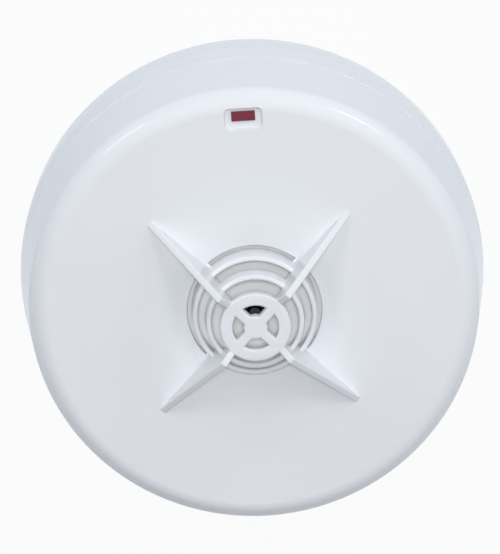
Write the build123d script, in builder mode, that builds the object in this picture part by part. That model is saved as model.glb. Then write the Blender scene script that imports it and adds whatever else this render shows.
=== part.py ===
from build123d import *
import math
import os

# Point heat detector: a plug-in head that twists on to a mounting base.
# Millimetres and degrees. The origin is the centre of the base's back face,
# +Z points out of the face of the detector, +Y towards its indicator lens.

os.makedirs("parts", exist_ok=True)

# ---------------------------------------------------------------- outline
outer_r = 50.0  # straight rim against the ceiling
rim_h = 8.8  # height of the straight rim
wall_taper = 4.0  # radius that the wall loses from the rim to the face
face_h = 35.2  # flat front face
shoulder_r = 4.5  # rounding between the wall and the face
wall_t = 2.0  # cover wall
face_t = 1.8  # cover face
edge_r = 0.4  # small rounding of moulded edges

# ---------------------------------------------------------------- base
base_h = 15.0  # top of the base's rim
base_web_t = 2.0  # back web of the base
base_wall_t = 3.0  # rim of the base
part_gap = 0.4  # gap between the base's rim and the cover
entry_r = 9.0  # cable entry
entry_wall_t = 1.5  # collar round the cable entry
entry_h = 4.0  # height of that collar
slot_spacing = 60.0  # mounting slots, centre to centre
slot_w = 4.6
slot_l = 12.0

# ---------------------------------------------------------------- bayonet
bayonet_count = 3
collar_inset = 6.0  # from the inside of the rim to the inside of the bayonet collar
collar_t = 1.8
collar_h = 10.2
lip_t = 2.0  # thickness of the inward lips at the collar's top
lip_reach = 2.0
lip_angle = 28.0
lug_t = 2.2
lug_angle = 22.0
lug_gap = 0.4  # lug to collar, and skirt to lip
lip_gap = 0.3  # lug to lip, and lug to stop
skirt_t = 2.0
stop_angle = 2.4

# ---------------------------------------------------------------- terminals
terminal_count = 4
terminal_inset = 9.6  # from the inside of the skirt to the circle of the terminals
blade_azimuth = 60.0  # first blade; the others follow a quarter turn apart
terminal_lag = 35.0  # each screw lies this far behind its blade
seat_l = 10.0
seat_w = 9.0
seat_h = 4.0  # above the base's web
seat_floor_t = 1.0  # left under the blind screw hole
spring_t = 0.6
spring_w = 5.0
spring_rise = 0.6
pad_l = 7.0
lead_in_l = 2.8
lead_in_drop = 1.6
washer_side = 7.2
washer_t = 1.0
screw_r = 1.45  # terminal screw shank
screw_fit = 0.05  # radial clearance of a screw in its thread
washer_fit = 0.10
screw_tip_gap = 0.4
head_r = 2.9
head_h = 2.0
drive_w = 0.8  # cross recess
drive_l = 3.6
drive_depth = 1.1

# ---------------------------------------------------------------- chassis of the head
chassis_drop = 3.0  # the chassis lies this far below the top of the base's rim
chassis_t = 2.0
chassis_gap = 0.6  # chassis to the base's rim
spigot_t = 2.0  # ring of the cover that stands on the chassis
flange_h = 2.2  # ledge between that ring and the cover's wall
fixing_count = 3
fixing_inset = 15.4  # from the chassis's edge to the circle of its screws
fixing_azimuth = 15.0
fixing_r = 1.5  # shank of the screws from chassis to cover
fixing_head_r = 2.8
fixing_head_h = 1.6
fixing_fit = 0.1
column_r = 3.6
post_floor_t = 1.2  # cover's post left above the screw's pilot hole

# ---------------------------------------------------------------- blades, rivets and links
blade_t = 0.6
blade_w = 5.0
blade_gap = 0.2  # blade to spring
blade_reach = 4.0  # blade's tip outside the circle of the terminals
leg_inset = 2.4  # blade's leg inside that circle
rivet_inset = 5.5
blade_inset = 8.5
rivet_r = 1.2
rivet_head_r = 2.1
rivet_head_h = 0.8
rivet_fit = 0.05
link_t = 0.5
link_w = 3.0
link_inset = 7.8  # inner end of the link inside the circle of the terminals
riser_offset = 3.0  # link's riser outside the circle of the rivets
link_tail = 0.8  # stands this far out of the board
link_slot_fit = 0.2

# ---------------------------------------------------------------- board and sensor
board_t = 1.6
component_gap = 0.6  # chassis to the tallest component under the board
electrolytic_r = 3.15  # that component
electrolytic_h = 7.2
board_inset = 3.4  # board's edge inside the chassis's edge
lead_r = 0.25
lead_hole_r = 0.4
lead_tail = 0.8  # cut leads below the board
bead_r = 1.15
bead_flat = 0.8  # flat of the bead below its centre
bead_lead_pitch = 0.9
bead_gap = 0.6  # bead's flat above the sleeve
sleeve_r = 3.0
sleeve_bore_r = 1.5
sleeve_sink = 1.2  # sleeve's top below the face
sleeve_fit = 0.1
well_offset = 1.5  # inside of the cup outside the vent's edge
well_wall_t = 1.6
well_depth = 4.6  # cup's floor below the face
well_floor_t = 1.2

# ---------------------------------------------------------------- vent and cage
vent_r = 13.9
vent_drop = 1.5  # the face dips by this much at the vent
dip_w = 6.1  # width of the dip round the vent
vent_lip_t = 1.8
hoop_t = 1.05
hoop_top_inset = (1.76, 4.56)  # middle of each hoop's rim, inside the vent's edge
hoop_top_rise = (2.5, 6.4)  # above the face
hoop_foot_inset = (1.35, 4.2)
hoop_foot_rise = (-2.7, 3.2)
ring_inset = 6.75
ring_rise = 10.1
ring_h = 2.4
window_inset = 2.5  # width of the centre ring
hub_r = 2.4
spoke_w = 2.0
fin_count = 4
fin_azimuth = 45.0
fin_t = 1.45
fin_foot_r = 28.8
fin_peak_inset = 4.3
fin_peak_rise = 12.0
bridge_w = 2.3  # web that carries the cage across the vent slot

# ---------------------------------------------------------------- indicator
lens_inset = 4.8  # middle of the lens inside the corner of wall and face
lens_l = 4.8
lens_w = 2.05
lens_sink = 0.45  # top of the lens below the face
lens_fit = 0.1
lens_flange = 0.7
lens_flange_t = 1.0
pocket_l = 7.4
pocket_w = 4.2
pocket_offset = 0.5  # middle of the pocket inside the middle of the lens
pocket_depth = 0.9
pocket_corner_r = 0.9
guide_wall_t = 0.8
guide_h = 1.0  # depth of the lens guide below the face
led_r = 1.5
led_flange_r = 1.9
led_flange_t = 1.0
pipe_stem_h = 0.7
led_pitch = 2.54
pipe_gap = 0.3

# ---------------------------------------------------------------- worked-out places
face_corner_r = outer_r - wall_taper
base_inner_r = outer_r - base_wall_t
cover_bottom = base_h + part_gap
collar_r = base_inner_r - collar_inset
lip_bottom = collar_h - lip_t
lug_top = lip_bottom - lip_gap
lug_r = collar_r - lug_gap
skirt_r = collar_r - lip_reach - lug_gap
terminal_r = skirt_r - skirt_t - terminal_inset
seat_top = base_web_t + seat_h
spring_top = seat_top + spring_t
pad_top = spring_top + spring_rise
washer_top = spring_top + washer_t
chassis_z = base_h - chassis_drop
chassis_top = chassis_z + chassis_t
chassis_r = base_inner_r - chassis_gap
fixing_circle_r = chassis_r - fixing_inset
blade_foot_z = pad_top + blade_gap
blade_outer_r = terminal_r + blade_reach
blade_leg_r = terminal_r - leg_inset
blade_inner_r = terminal_r - blade_inset
rivet_circle_r = terminal_r - rivet_inset
link_inner_r = terminal_r - link_inset
link_riser_r = rivet_circle_r + riser_offset
link_foot_top = chassis_top + link_t
board_z = chassis_top + component_gap + electrolytic_h
board_top = board_z + board_t
board_r = chassis_r - board_inset
face_under = face_h - face_t
vent_top = face_h - vent_drop
vent_under = vent_top - vent_lip_t
dip_r = vent_r + dip_w
hoop_top_r = [vent_r - inset for inset in hoop_top_inset]
hoop_top_z = [face_h + rise for rise in hoop_top_rise]
hoop_foot_r = [vent_r - inset for inset in hoop_foot_inset]
hoop_foot_z = [face_h + rise for rise in hoop_foot_rise]
ring_r = vent_r - ring_inset
ring_top = face_h + ring_rise
window_r = ring_r - window_inset
fin_peak_r = vent_r - fin_peak_inset
fin_peak_z = face_h + fin_peak_rise
well_r = vent_r + well_offset
well_floor_z = face_h - well_depth
sleeve_top = face_h - sleeve_sink
bead_flat_z = sleeve_top + bead_gap
lens_y = face_corner_r - lens_inset
lens_top = face_h - lens_sink
pocket_y = lens_y - pocket_offset
pocket_floor = face_h - pocket_depth
guide_bottom = face_under - guide_h
pipe_bottom = guide_bottom - lens_flange_t - pipe_stem_h
led_top = pipe_bottom - pipe_gap
led_dome_r = min(led_r - edge_r / 2, led_top - board_top - led_flange_t - edge_r / 2)


def wall_r(z):
    """Outside radius of the tapering wall at height z."""
    return outer_r - (z - rim_h) * (outer_r - face_corner_r) / (face_h - rim_h)


def radial_plane(azimuth):
    """Upright plane through the axis: local x runs outwards, local y is +Z."""
    a = math.radians(azimuth)
    return Plane(origin=(0, 0, 0), x_dir=(math.cos(a), math.sin(a), 0), z_dir=(math.sin(a), -math.cos(a), 0))


def chord_plane(azimuth):
    """Upright plane through a terminal screw; local x runs along the chord to its blade."""
    a = math.radians(azimuth)
    along = a + math.radians(90 + terminal_lag / 2)
    return Plane(
        origin=(terminal_r * math.cos(a), terminal_r * math.sin(a), 0),
        x_dir=(math.cos(along), math.sin(along), 0),
        z_dir=(math.sin(along), -math.cos(along), 0),
    )


def flat_plane(azimuth, height):
    """Level plane over a terminal screw, turned along the chord to its blade."""
    upright = chord_plane(azimuth)
    return Plane(origin=upright.origin + Vector(0, 0, height), x_dir=upright.x_dir, z_dir=(0, 0, 1))


blade_azimuths = [blade_azimuth + n * 360 / terminal_count for n in range(terminal_count)]
screw_azimuths = [azimuth - terminal_lag for azimuth in blade_azimuths]
pad_x = 2 * terminal_r * math.sin(math.radians(terminal_lag / 2))

# ================================================================ mounting base
with BuildPart() as base_plate:
    with BuildSketch(Plane.XZ) as dish:
        with BuildLine():
            Polyline(
                (0, 0),
                (outer_r, 0),
                (outer_r, rim_h),
                (wall_r(base_h), base_h),
                (base_inner_r, base_h),
                (base_inner_r, base_web_t),
                (0, base_web_t),
                close=True,
            )
        make_face()
        fillet(dish.vertices().group_by(Axis.Y)[-1], edge_r)
    revolve(axis=Axis.Z)
    # collar round the cable entry
    with BuildSketch(Plane.XY):
        Circle(entry_r + entry_wall_t)
    extrude(amount=entry_h)
    # bayonet collar
    with BuildSketch(Plane.XY):
        Circle(collar_r + collar_t)
        Circle(collar_r, mode=Mode.SUBTRACT)
    extrude(amount=collar_h)
    # lips that hold the head's lugs, and the stops that its lugs turn up against
    for n in range(bayonet_count):
        lip_start = n * 360 / bayonet_count - lip_angle / 2
        stop_end = n * 360 / bayonet_count - lug_angle / 2 - math.degrees(lip_gap / lug_r)
        with BuildSketch(radial_plane(lip_start)):
            with Locations((collar_r - lip_reach, lip_bottom)):
                Rectangle(lip_reach + edge_r, lip_t, align=(Align.MIN, Align.MIN))
        revolve(axis=Axis.Z, revolution_arc=lip_angle)
        with BuildSketch(radial_plane(stop_end - stop_angle)):
            with Locations((collar_r - lip_reach, base_web_t)):
                Rectangle(lip_reach + edge_r, lip_bottom, align=(Align.MIN, Align.MIN))
        revolve(axis=Axis.Z, revolution_arc=stop_angle)
    # seats under the terminals
    for azimuth in screw_azimuths:
        with BuildSketch(flat_plane(azimuth, 0)):
            RectangleRounded(seat_l, seat_w, edge_r)
        extrude(amount=seat_top)
    # openings: cable entry, mounting slots, blind holes for the terminal screws
    with BuildSketch(Plane.XY):
        Circle(entry_r)
    extrude(amount=entry_h, mode=Mode.SUBTRACT)
    with BuildSketch(Plane.XY):
        with Locations((-slot_spacing / 2, 0), (slot_spacing / 2, 0)):
            SlotOverall(slot_l, slot_w)
    extrude(amount=base_web_t, mode=Mode.SUBTRACT)
    for azimuth in screw_azimuths:
        with Locations(flat_plane(azimuth, seat_top)):
            Hole(screw_r + screw_fit, depth=seat_top - seat_floor_t)
base_plate.part.label = "base_plate"
export_step(base_plate.part, "parts/base_plate.step")

# sprung contact strips, one to a terminal
for n, azimuth in enumerate(screw_azimuths, 1):
    with BuildPart() as terminal_spring:
        with BuildSketch(chord_plane(azimuth)):
            with BuildLine():
                Polyline(
                    (-washer_side / 2, seat_top),
                    (seat_l / 2, seat_top),
                    (pad_x - pad_l / 2, seat_top + spring_rise),
                    (pad_x + pad_l / 2, seat_top + spring_rise),
                    (pad_x + pad_l / 2 + lead_in_l, seat_top + spring_rise - lead_in_drop),
                )
                offset(amount=spring_t, side=Side.LEFT)
            make_face()
        extrude(amount=spring_w / 2, both=True)
        with Locations(flat_plane(azimuth, spring_top)):
            Hole(screw_r + 2 * washer_fit, depth=2 * spring_t)
    terminal_spring.part.label = f"terminal_spring_{n}"
    export_step(terminal_spring.part, f"parts/terminal_spring_{n}.step")

# square clamp washers, captive under the terminal screws
for n, azimuth in enumerate(screw_azimuths, 1):
    with BuildPart() as clamp_washer:
        with BuildSketch(flat_plane(azimuth, spring_top)):
            Rectangle(washer_side, washer_side)
            Circle(screw_r + washer_fit, mode=Mode.SUBTRACT)
        extrude(amount=washer_t)
        chamfer(clamp_washer.faces().sort_by(Axis.Z)[-1].outer_wire().edges(), edge_r)
    clamp_washer.part.label = f"clamp_washer_{n}"
    export_step(clamp_washer.part, f"parts/clamp_washer_{n}.step")

# terminal screws with a cross recess
for n, azimuth in enumerate(screw_azimuths, 1):
    shank_l = washer_top - seat_floor_t - screw_tip_gap
    with BuildPart() as terminal_screw:
        with BuildSketch(flat_plane(azimuth, washer_top)):
            Circle(head_r)
        extrude(amount=head_h)
        fillet(terminal_screw.edges().group_by(Axis.Z)[-1], 2 * edge_r)
        with BuildSketch(flat_plane(azimuth, washer_top)):
            Circle(screw_r)
        extrude(amount=-shank_l)
        chamfer(terminal_screw.edges().group_by(Axis.Z)[0], edge_r)
        with BuildSketch(flat_plane(azimuth, washer_top + head_h)):
            Rectangle(drive_l, drive_w)
            Rectangle(drive_w, drive_l)
        extrude(amount=-drive_depth, mode=Mode.SUBTRACT)
    terminal_screw.part.label = f"terminal_screw_{n}"
    export_step(terminal_screw.part, f"parts/terminal_screw_{n}.step")

# ================================================================ head: cover and cage
with BuildPart() as front_cover:
    # shell, with the ring that stands on the chassis and the dip round the vent
    dip_l = dip_r - vent_r
    dip_arc_r = (dip_l**2 + vent_drop**2) / (2 * vent_drop)
    half_turn = math.asin(dip_l / dip_arc_r) / 2
    dip_mid = (
        dip_r - dip_arc_r * math.sin(half_turn),
        face_h - dip_arc_r * (1 - math.cos(half_turn)),
    )
    with BuildSketch(Plane.XZ) as shell:
        with BuildLine():
            ThreePointArc((vent_r, vent_top), dip_mid, (dip_r, face_h))
            Polyline(
                (dip_r, face_h),
                (face_corner_r, face_h),
                (wall_r(cover_bottom), cover_bottom),
                (chassis_r, cover_bottom),
                (chassis_r, chassis_top),
                (chassis_r - spigot_t, chassis_top),
                (chassis_r - spigot_t, cover_bottom + flange_h),
                (wall_r(cover_bottom + flange_h) - wall_t, cover_bottom + flange_h),
                (wall_r(face_under) - wall_t, face_under),
                (vent_r + 2 * (vent_drop + vent_lip_t), face_under),
                (vent_r + well_wall_t + vent_lip_t, vent_under),
                (vent_r, vent_under),
                (vent_r, vent_top),
            )
        make_face()
        fillet(shell.vertices().filter_by_position(Axis.X, face_corner_r - 1e-3, face_corner_r + 1e-3), shoulder_r)
        inner_corner_r = wall_r(face_under) - wall_t
        fillet(shell.vertices().filter_by_position(Axis.X, inner_corner_r - 1e-3, inner_corner_r + 1e-3), wall_t)
        rim_corner_r = wall_r(cover_bottom)
        fillet(shell.vertices().filter_by_position(Axis.X, rim_corner_r - 1e-3, rim_corner_r + 1e-3), edge_r)
    revolve(axis=Axis.Z)
    # two vent hoops with rounded rims
    for n in range(len(hoop_top_r)):
        with BuildSketch(Plane.XZ) as hoop:
            with BuildLine():
                Polyline(
                    (hoop_foot_r[n] - hoop_t / 2, hoop_foot_z[n]),
                    (hoop_foot_r[n] + hoop_t / 2, hoop_foot_z[n]),
                    (hoop_top_r[n] + hoop_t / 2, hoop_top_z[n]),
                    (hoop_top_r[n] - hoop_t / 2, hoop_top_z[n]),
                    close=True,
                )
            make_face()
            fillet(hoop.vertices().group_by(Axis.Y)[-1], edge_r)
        revolve(axis=Axis.Z)
    # centre ring with rounded edges
    with BuildSketch(Plane.XZ) as centre:
        with Locations((0, ring_top)):
            Rectangle(ring_r, ring_h, align=(Align.MIN, Align.MAX))
        fillet(centre.vertices().group_by(Axis.X)[-1], 1.5 * edge_r)
    revolve(axis=Axis.Z)
    # four fins on the diagonals, from the face up to the ring, which carry the hoops
    for n in range(fin_count):
        azimuth = fin_azimuth + n * 360 / fin_count
        with BuildSketch(radial_plane(azimuth)):
            with BuildLine():
                Polyline(
                    (fin_foot_r, face_h - face_t / 2),
                    (fin_foot_r, face_h),
                    (fin_peak_r, fin_peak_z),
                    (ring_r - edge_r, ring_top - edge_r),
                    (ring_r - edge_r, ring_top - ring_h + edge_r),
                    (hoop_foot_r[1], hoop_foot_z[1] + edge_r),
                    (hoop_foot_r[0], hoop_foot_z[0] + edge_r),
                    (vent_r + edge_r, vent_under + edge_r),
                    (dip_r, face_h - face_t / 2),
                    close=True,
                )
            make_face()
        extrude(amount=fin_t / 2, both=True)
        # wider web where the fin crosses the vent slot
        with BuildSketch(radial_plane(azimuth)):
            with BuildLine():
                Polyline(
                    (vent_r + edge_r, vent_top),
                    (hoop_foot_r[0], vent_top),
                    (hoop_foot_r[0], hoop_foot_z[0] + edge_r),
                    (vent_r + edge_r, vent_under + edge_r),
                    close=True,
                )
            make_face()
        extrude(amount=bridge_w / 2, both=True)
    # four windows between the hub, the spokes and the ring
    with BuildSketch(Plane.XY.offset(ring_top - ring_h)):
        Circle(window_r)
        Circle(hub_r, mode=Mode.SUBTRACT)
        Rectangle(2 * ring_r, spoke_w, rotation=fin_azimuth, mode=Mode.SUBTRACT)
        Rectangle(2 * ring_r, spoke_w, rotation=fin_azimuth + 90, mode=Mode.SUBTRACT)
    extrude(amount=ring_h, mode=Mode.SUBTRACT)
    # posts for the screws that hold the chassis and the board
    with BuildSketch(Plane.XY.offset(board_top)):
        with PolarLocations(fixing_circle_r, fixing_count, start_angle=fixing_azimuth):
            Circle(column_r)
            Circle(fixing_r + screw_fit, mode=Mode.SUBTRACT)
    extrude(amount=face_h - post_floor_t - board_top - face_t)
    with BuildSketch(Plane.XY.offset(face_h - post_floor_t - face_t)):
        with PolarLocations(fixing_circle_r, fixing_count, start_angle=fixing_azimuth):
            Circle(column_r)
    extrude(amount=post_floor_t + edge_r)
    # guide for the lens, pocket and lens hole
    with BuildSketch(Plane.XY.offset(guide_bottom)):
        with Locations((0, pocket_y)):
            Rectangle(pocket_l + 2 * guide_wall_t, pocket_w + 2 * guide_wall_t)
    extrude(amount=guide_h + edge_r)
    with BuildSketch(Plane.XY.offset(pocket_floor)):
        with Locations((0, pocket_y)):
            RectangleRounded(pocket_l, pocket_w, pocket_corner_r)
    extrude(amount=2 * pocket_depth, mode=Mode.SUBTRACT)
    with BuildSketch(Plane.XY.offset(guide_bottom)):
        with Locations((0, lens_y)):
            Rectangle(lens_l + 2 * lens_fit, lens_w + 2 * lens_fit)
    extrude(amount=2 * face_t, mode=Mode.SUBTRACT)
front_cover.part.label = "front_cover"
export_step(front_cover.part, "parts/front_cover.step")

# red light pipe: window, snap flange and stem over the lamp
with BuildPart() as indicator_lens:
    with BuildSketch(Plane.XY.offset(guide_bottom)):
        with Locations((0, lens_y)):
            Rectangle(lens_l, lens_w)
    extrude(amount=lens_top - guide_bottom)
    fillet(indicator_lens.edges().group_by(Axis.Z)[-1], edge_r / 2)
    with BuildSketch(Plane.XY.offset(guide_bottom)):
        with Locations((0, lens_y)):
            Rectangle(lens_l + 2 * lens_flange, lens_w + 2 * lens_flange)
    extrude(amount=-lens_flange_t)
    with BuildSketch(Plane.XY.offset(guide_bottom - lens_flange_t)):
        with Locations((0, lens_y)):
            Circle(led_r)
    extrude(amount=-pipe_stem_h)
indicator_lens.part.label = "indicator_lens"
export_step(indicator_lens.part, "parts/indicator_lens.step")

# ================================================================ head: chassis
with BuildPart() as chassis_plate:
    with BuildSketch(Plane.XY.offset(chassis_z)):
        Circle(chassis_r)
    extrude(amount=chassis_t)
    # skirt and lugs of the bayonet
    with BuildSketch(Plane.XY.offset(chassis_z)):
        Circle(skirt_r)
        Circle(skirt_r - skirt_t, mode=Mode.SUBTRACT)
    extrude(amount=lug_top - lug_t - chassis_z)
    for n in range(bayonet_count):
        with BuildSketch(radial_plane(n * 360 / bayonet_count - lug_angle / 2)):
            with Locations((skirt_r - edge_r, lug_top)):
                Rectangle(lug_r - skirt_r + edge_r, lug_t, align=(Align.MIN, Align.MAX))
        revolve(axis=Axis.Z, revolution_arc=lug_angle)
    # columns that the board stands on
    with BuildSketch(Plane.XY.offset(chassis_top)):
        with PolarLocations(fixing_circle_r, fixing_count, start_angle=fixing_azimuth):
            Circle(column_r)
    extrude(amount=board_z - chassis_top)
    # sunk screw holes through the columns, rivet holes through the plate
    with BuildSketch(Plane.XY.offset(chassis_z)):
        with PolarLocations(fixing_circle_r, fixing_count, start_angle=fixing_azimuth):
            Circle(fixing_r + fixing_fit)
    extrude(amount=board_z - chassis_z, mode=Mode.SUBTRACT)
    with BuildSketch(Plane.XY.offset(chassis_z)):
        with PolarLocations(fixing_circle_r, fixing_count, start_angle=fixing_azimuth):
            Circle(fixing_head_r + fixing_fit)
    extrude(amount=fixing_head_h + fixing_fit, mode=Mode.SUBTRACT)
    with Locations(Plane.XY.offset(chassis_top)):
        with PolarLocations(rivet_circle_r, terminal_count, start_angle=blade_azimuth):
            Hole(rivet_r + rivet_fit, depth=chassis_t)
chassis_plate.part.label = "chassis_plate"
export_step(chassis_plate.part, "parts/chassis_plate.step")

# screws from the chassis through the board into the cover's posts
with BuildPart() as chassis_screws:
    with BuildSketch(Plane.XY.offset(chassis_z + fixing_fit)):
        with PolarLocations(fixing_circle_r, fixing_count, start_angle=fixing_azimuth):
            Circle(fixing_head_r)
    extrude(amount=fixing_head_h)
    with BuildSketch(Plane.XY.offset(chassis_z + fixing_fit)):
        with PolarLocations(fixing_circle_r, fixing_count, start_angle=fixing_azimuth):
            Rectangle(drive_l, drive_w)
            Rectangle(drive_w, drive_l)
    extrude(amount=drive_depth, mode=Mode.SUBTRACT)
    with BuildSketch(Plane.XY.offset(chassis_z + fixing_fit + fixing_head_h)):
        with PolarLocations(fixing_circle_r, fixing_count, start_angle=fixing_azimuth):
            Circle(fixing_r)
    extrude(amount=face_under - post_floor_t - screw_tip_gap - chassis_z - fixing_fit - fixing_head_h)
chassis_screws.part.label = "chassis_screws"
export_step(chassis_screws.part, "parts/chassis_screws.step")

# blades that slide on to the base's springs
for n, azimuth in enumerate(blade_azimuths, 1):
    with BuildPart() as contact_blade:
        with BuildSketch(radial_plane(azimuth)):
            with BuildLine():
                Polyline(
                    (blade_inner_r, chassis_z - blade_t),
                    (blade_leg_r, chassis_z - blade_t),
                    (blade_leg_r, blade_foot_z),
                    (blade_outer_r, blade_foot_z),
                )
                offset(amount=blade_t, side=Side.LEFT)
            make_face()
        extrude(amount=blade_w / 2, both=True)
        with Locations(Plane.XY.offset(chassis_z)):
            with PolarLocations(rivet_circle_r, 1, start_angle=azimuth):
                Hole(rivet_r + rivet_fit, depth=2 * blade_t)
    contact_blade.part.label = f"contact_blade_{n}"
    export_step(contact_blade.part, f"parts/contact_blade_{n}.step")

# rivets through blade, chassis and link
for n, azimuth in enumerate(blade_azimuths, 1):
    rivet_bottom = chassis_z - blade_t
    with BuildPart() as blade_rivet:
        with BuildSketch(Plane.XY.offset(rivet_bottom)):
            with PolarLocations(rivet_circle_r, 1, start_angle=azimuth):
                Circle(rivet_head_r)
        extrude(amount=-rivet_head_h)
        fillet(blade_rivet.edges().group_by(Axis.Z)[0], edge_r)
        with BuildSketch(Plane.XY.offset(rivet_bottom)):
            with PolarLocations(rivet_circle_r, 1, start_angle=azimuth):
                Circle(rivet_r)
        extrude(amount=link_foot_top - rivet_bottom)
        with BuildSketch(Plane.XY.offset(link_foot_top)):
            with PolarLocations(rivet_circle_r, 1, start_angle=azimuth):
                Circle(rivet_head_r)
        extrude(amount=rivet_head_h)
        fillet(blade_rivet.edges().group_by(Axis.Z)[-1], edge_r)
    blade_rivet.part.label = f"blade_rivet_{n}"
    export_step(blade_rivet.part, f"parts/blade_rivet_{n}.step")

# bent links from the rivets up through the board
for n, azimuth in enumerate(blade_azimuths, 1):
    with BuildPart() as board_link:
        with BuildSketch(radial_plane(azimuth)):
            with BuildLine():
                Polyline(
                    (link_inner_r, chassis_top),
                    (link_riser_r, chassis_top),
                    (link_riser_r, board_top + link_tail),
                )
                offset(amount=link_t, side=Side.LEFT)
            make_face()
        extrude(amount=link_w / 2, both=True)
        with Locations(Plane.XY.offset(link_foot_top)):
            with PolarLocations(rivet_circle_r, 1, start_angle=azimuth):
                Hole(rivet_r + rivet_fit, depth=2 * link_t)
    board_link.part.label = f"board_link_{n}"
    export_step(board_link.part, f"parts/board_link_{n}.step")

# ================================================================ head: board
with BuildPart() as circuit_board:
    with BuildSketch(Plane.XY.offset(board_z)):
        Circle(board_r)
        with PolarLocations(fixing_circle_r, fixing_count, start_angle=fixing_azimuth):
            Circle(fixing_r + fixing_fit, mode=Mode.SUBTRACT)
        with PolarLocations(link_riser_r - link_t / 2, terminal_count, start_angle=blade_azimuth):
            Rectangle(link_t + 2 * link_slot_fit, link_w + 2 * link_slot_fit, mode=Mode.SUBTRACT)
        with Locations((-bead_lead_pitch / 2, 0), (bead_lead_pitch / 2, 0)):
            Circle(lead_hole_r, mode=Mode.SUBTRACT)
        with Locations((-led_pitch / 2, lens_y), (led_pitch / 2, lens_y)):
            Circle(lead_hole_r, mode=Mode.SUBTRACT)
    extrude(amount=board_t)
circuit_board.part.label = "circuit_board"
export_step(circuit_board.part, "parts/circuit_board.step")

# indicator lamp under the light pipe
with BuildPart() as indicator_led:
    with BuildSketch(Plane.XY.offset(board_top)):
        with Locations((0, lens_y)):
            Circle(led_flange_r)
    extrude(amount=led_flange_t)
    with BuildSketch(Plane.XY.offset(board_top)):
        with Locations((0, lens_y)):
            Circle(led_r)
    extrude(amount=led_top - board_top)
    fillet(indicator_led.edges().group_by(Axis.Z)[-1], led_dome_r)
    with BuildSketch(Plane.XY.offset(board_top)):
        with Locations((-led_pitch / 2, lens_y), (led_pitch / 2, lens_y)):
            Circle(lead_r)
    extrude(amount=-(board_t + lead_tail))
indicator_led.part.label = "indicator_led"
export_step(indicator_led.part, "parts/indicator_led.step")

# ================================================================ head: sensor
# cup that closes the inside of the head from the vent
with BuildPart() as vent_well:
    with BuildSketch(Plane.XY.offset(board_top)):
        Circle(well_r + well_wall_t)
        Circle(well_r, mode=Mode.SUBTRACT)
    extrude(amount=vent_under - board_top)
    with BuildSketch(Plane.XY.offset(well_floor_z - well_floor_t)):
        Circle(well_r + well_wall_t / 2)
        Circle(sleeve_r + sleeve_fit, mode=Mode.SUBTRACT)
    extrude(amount=well_floor_t)
vent_well.part.label = "vent_well"
export_step(vent_well.part, "parts/vent_well.step")

# sleeve that stands the sensing bead up inside the cage
with BuildPart() as sensor_sleeve:
    with BuildSketch(Plane.XY.offset(board_top)):
        Circle(sleeve_r)
        Circle(sleeve_bore_r, mode=Mode.SUBTRACT)
    extrude(amount=sleeve_top - board_top)
    fillet(sensor_sleeve.edges().group_by(Axis.Z)[-1].sort_by(SortBy.LENGTH)[-1], 1.5 * edge_r)
sensor_sleeve.part.label = "sensor_sleeve"
export_step(sensor_sleeve.part, "parts/sensor_sleeve.step")

# sensing bead, flat underneath where its leads enter
with BuildPart() as sensing_thermistor:
    with Locations((0, 0, bead_flat_z + bead_flat)):
        Sphere(bead_r)
    split(bisect_by=Plane.XY.offset(bead_flat_z), keep=Keep.TOP)
sensing_thermistor.part.label = "sensing_thermistor"
export_step(sensing_thermistor.part, "parts/sensing_thermistor.step")

with BuildPart() as thermistor_leads:
    with BuildSketch(Plane.XY.offset(board_z - lead_tail)):
        with Locations((-bead_lead_pitch / 2, 0), (bead_lead_pitch / 2, 0)):
            Circle(lead_r)
    extrude(amount=bead_flat_z - board_z + lead_tail)
thermistor_leads.part.label = "thermistor_leads"
export_step(thermistor_leads.part, "parts/thermistor_leads.step")

# ================================================================ parts under the board
# second bead inside the head, against which the rise of temperature is judged
reference_place = (36.0, -12.0)
reference_drop = 5.0
with BuildPart() as reference_thermistor:
    with BuildSketch(Plane.XY.offset(board_z - reference_drop)):
        with Locations(reference_place):
            with Locations((-bead_lead_pitch / 2, 0), (bead_lead_pitch / 2, 0)):
                Circle(lead_r)
    extrude(amount=reference_drop)
    with Locations((*reference_place, board_z - reference_drop)):
        Sphere(bead_r)
reference_thermistor.part.label = "reference_thermistor"
export_step(reference_thermistor.part, "parts/reference_thermistor.step")

# controller with its gull-wing legs
chip_place = (0, 12.0)
chip_l, chip_w, chip_h = 9.9, 3.9, 1.75
chip_pins, chip_pitch, chip_span = 8, 1.27, 6.0
pin_w, pin_t = 0.42, 0.25
with BuildPart() as controller_chip:
    with BuildSketch(Plane.XY.offset(board_z)):
        with Locations(chip_place):
            Rectangle(chip_l, chip_w)
    extrude(amount=-chip_h)
    chamfer(controller_chip.edges().group_by(Axis.Z)[0], edge_r / 2)
    with BuildSketch(Plane.XY.offset(board_z)):
        with Locations(chip_place):
            with GridLocations(chip_pitch, 0, chip_pins, 1):
                Rectangle(pin_w, chip_span)
    extrude(amount=-pin_t)
controller_chip.part.label = "controller_chip"
export_step(controller_chip.part, "parts/controller_chip.step")

# bridge rectifier: lets the loop wires go on either way round
rectifier_place = (0, -13.0)
rectifier_l, rectifier_w, rectifier_h, rectifier_span = 6.4, 4.7, 2.5, 8.0
with BuildPart() as bridge_rectifier:
    with BuildSketch(Plane.XY.offset(board_z)):
        with Locations(rectifier_place):
            Rectangle(rectifier_l, rectifier_w)
    extrude(amount=-rectifier_h)
    chamfer(bridge_rectifier.edges().group_by(Axis.Z)[0], edge_r)
    with BuildSketch(Plane.XY.offset(board_z)):
        with Locations(rectifier_place):
            with GridLocations(2 * led_pitch, 0, 2, 1):
                Rectangle(2 * pin_w, rectifier_span)
    extrude(amount=-pin_t)
bridge_rectifier.part.label = "bridge_rectifier"
export_step(bridge_rectifier.part, "parts/bridge_rectifier.step")

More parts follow.
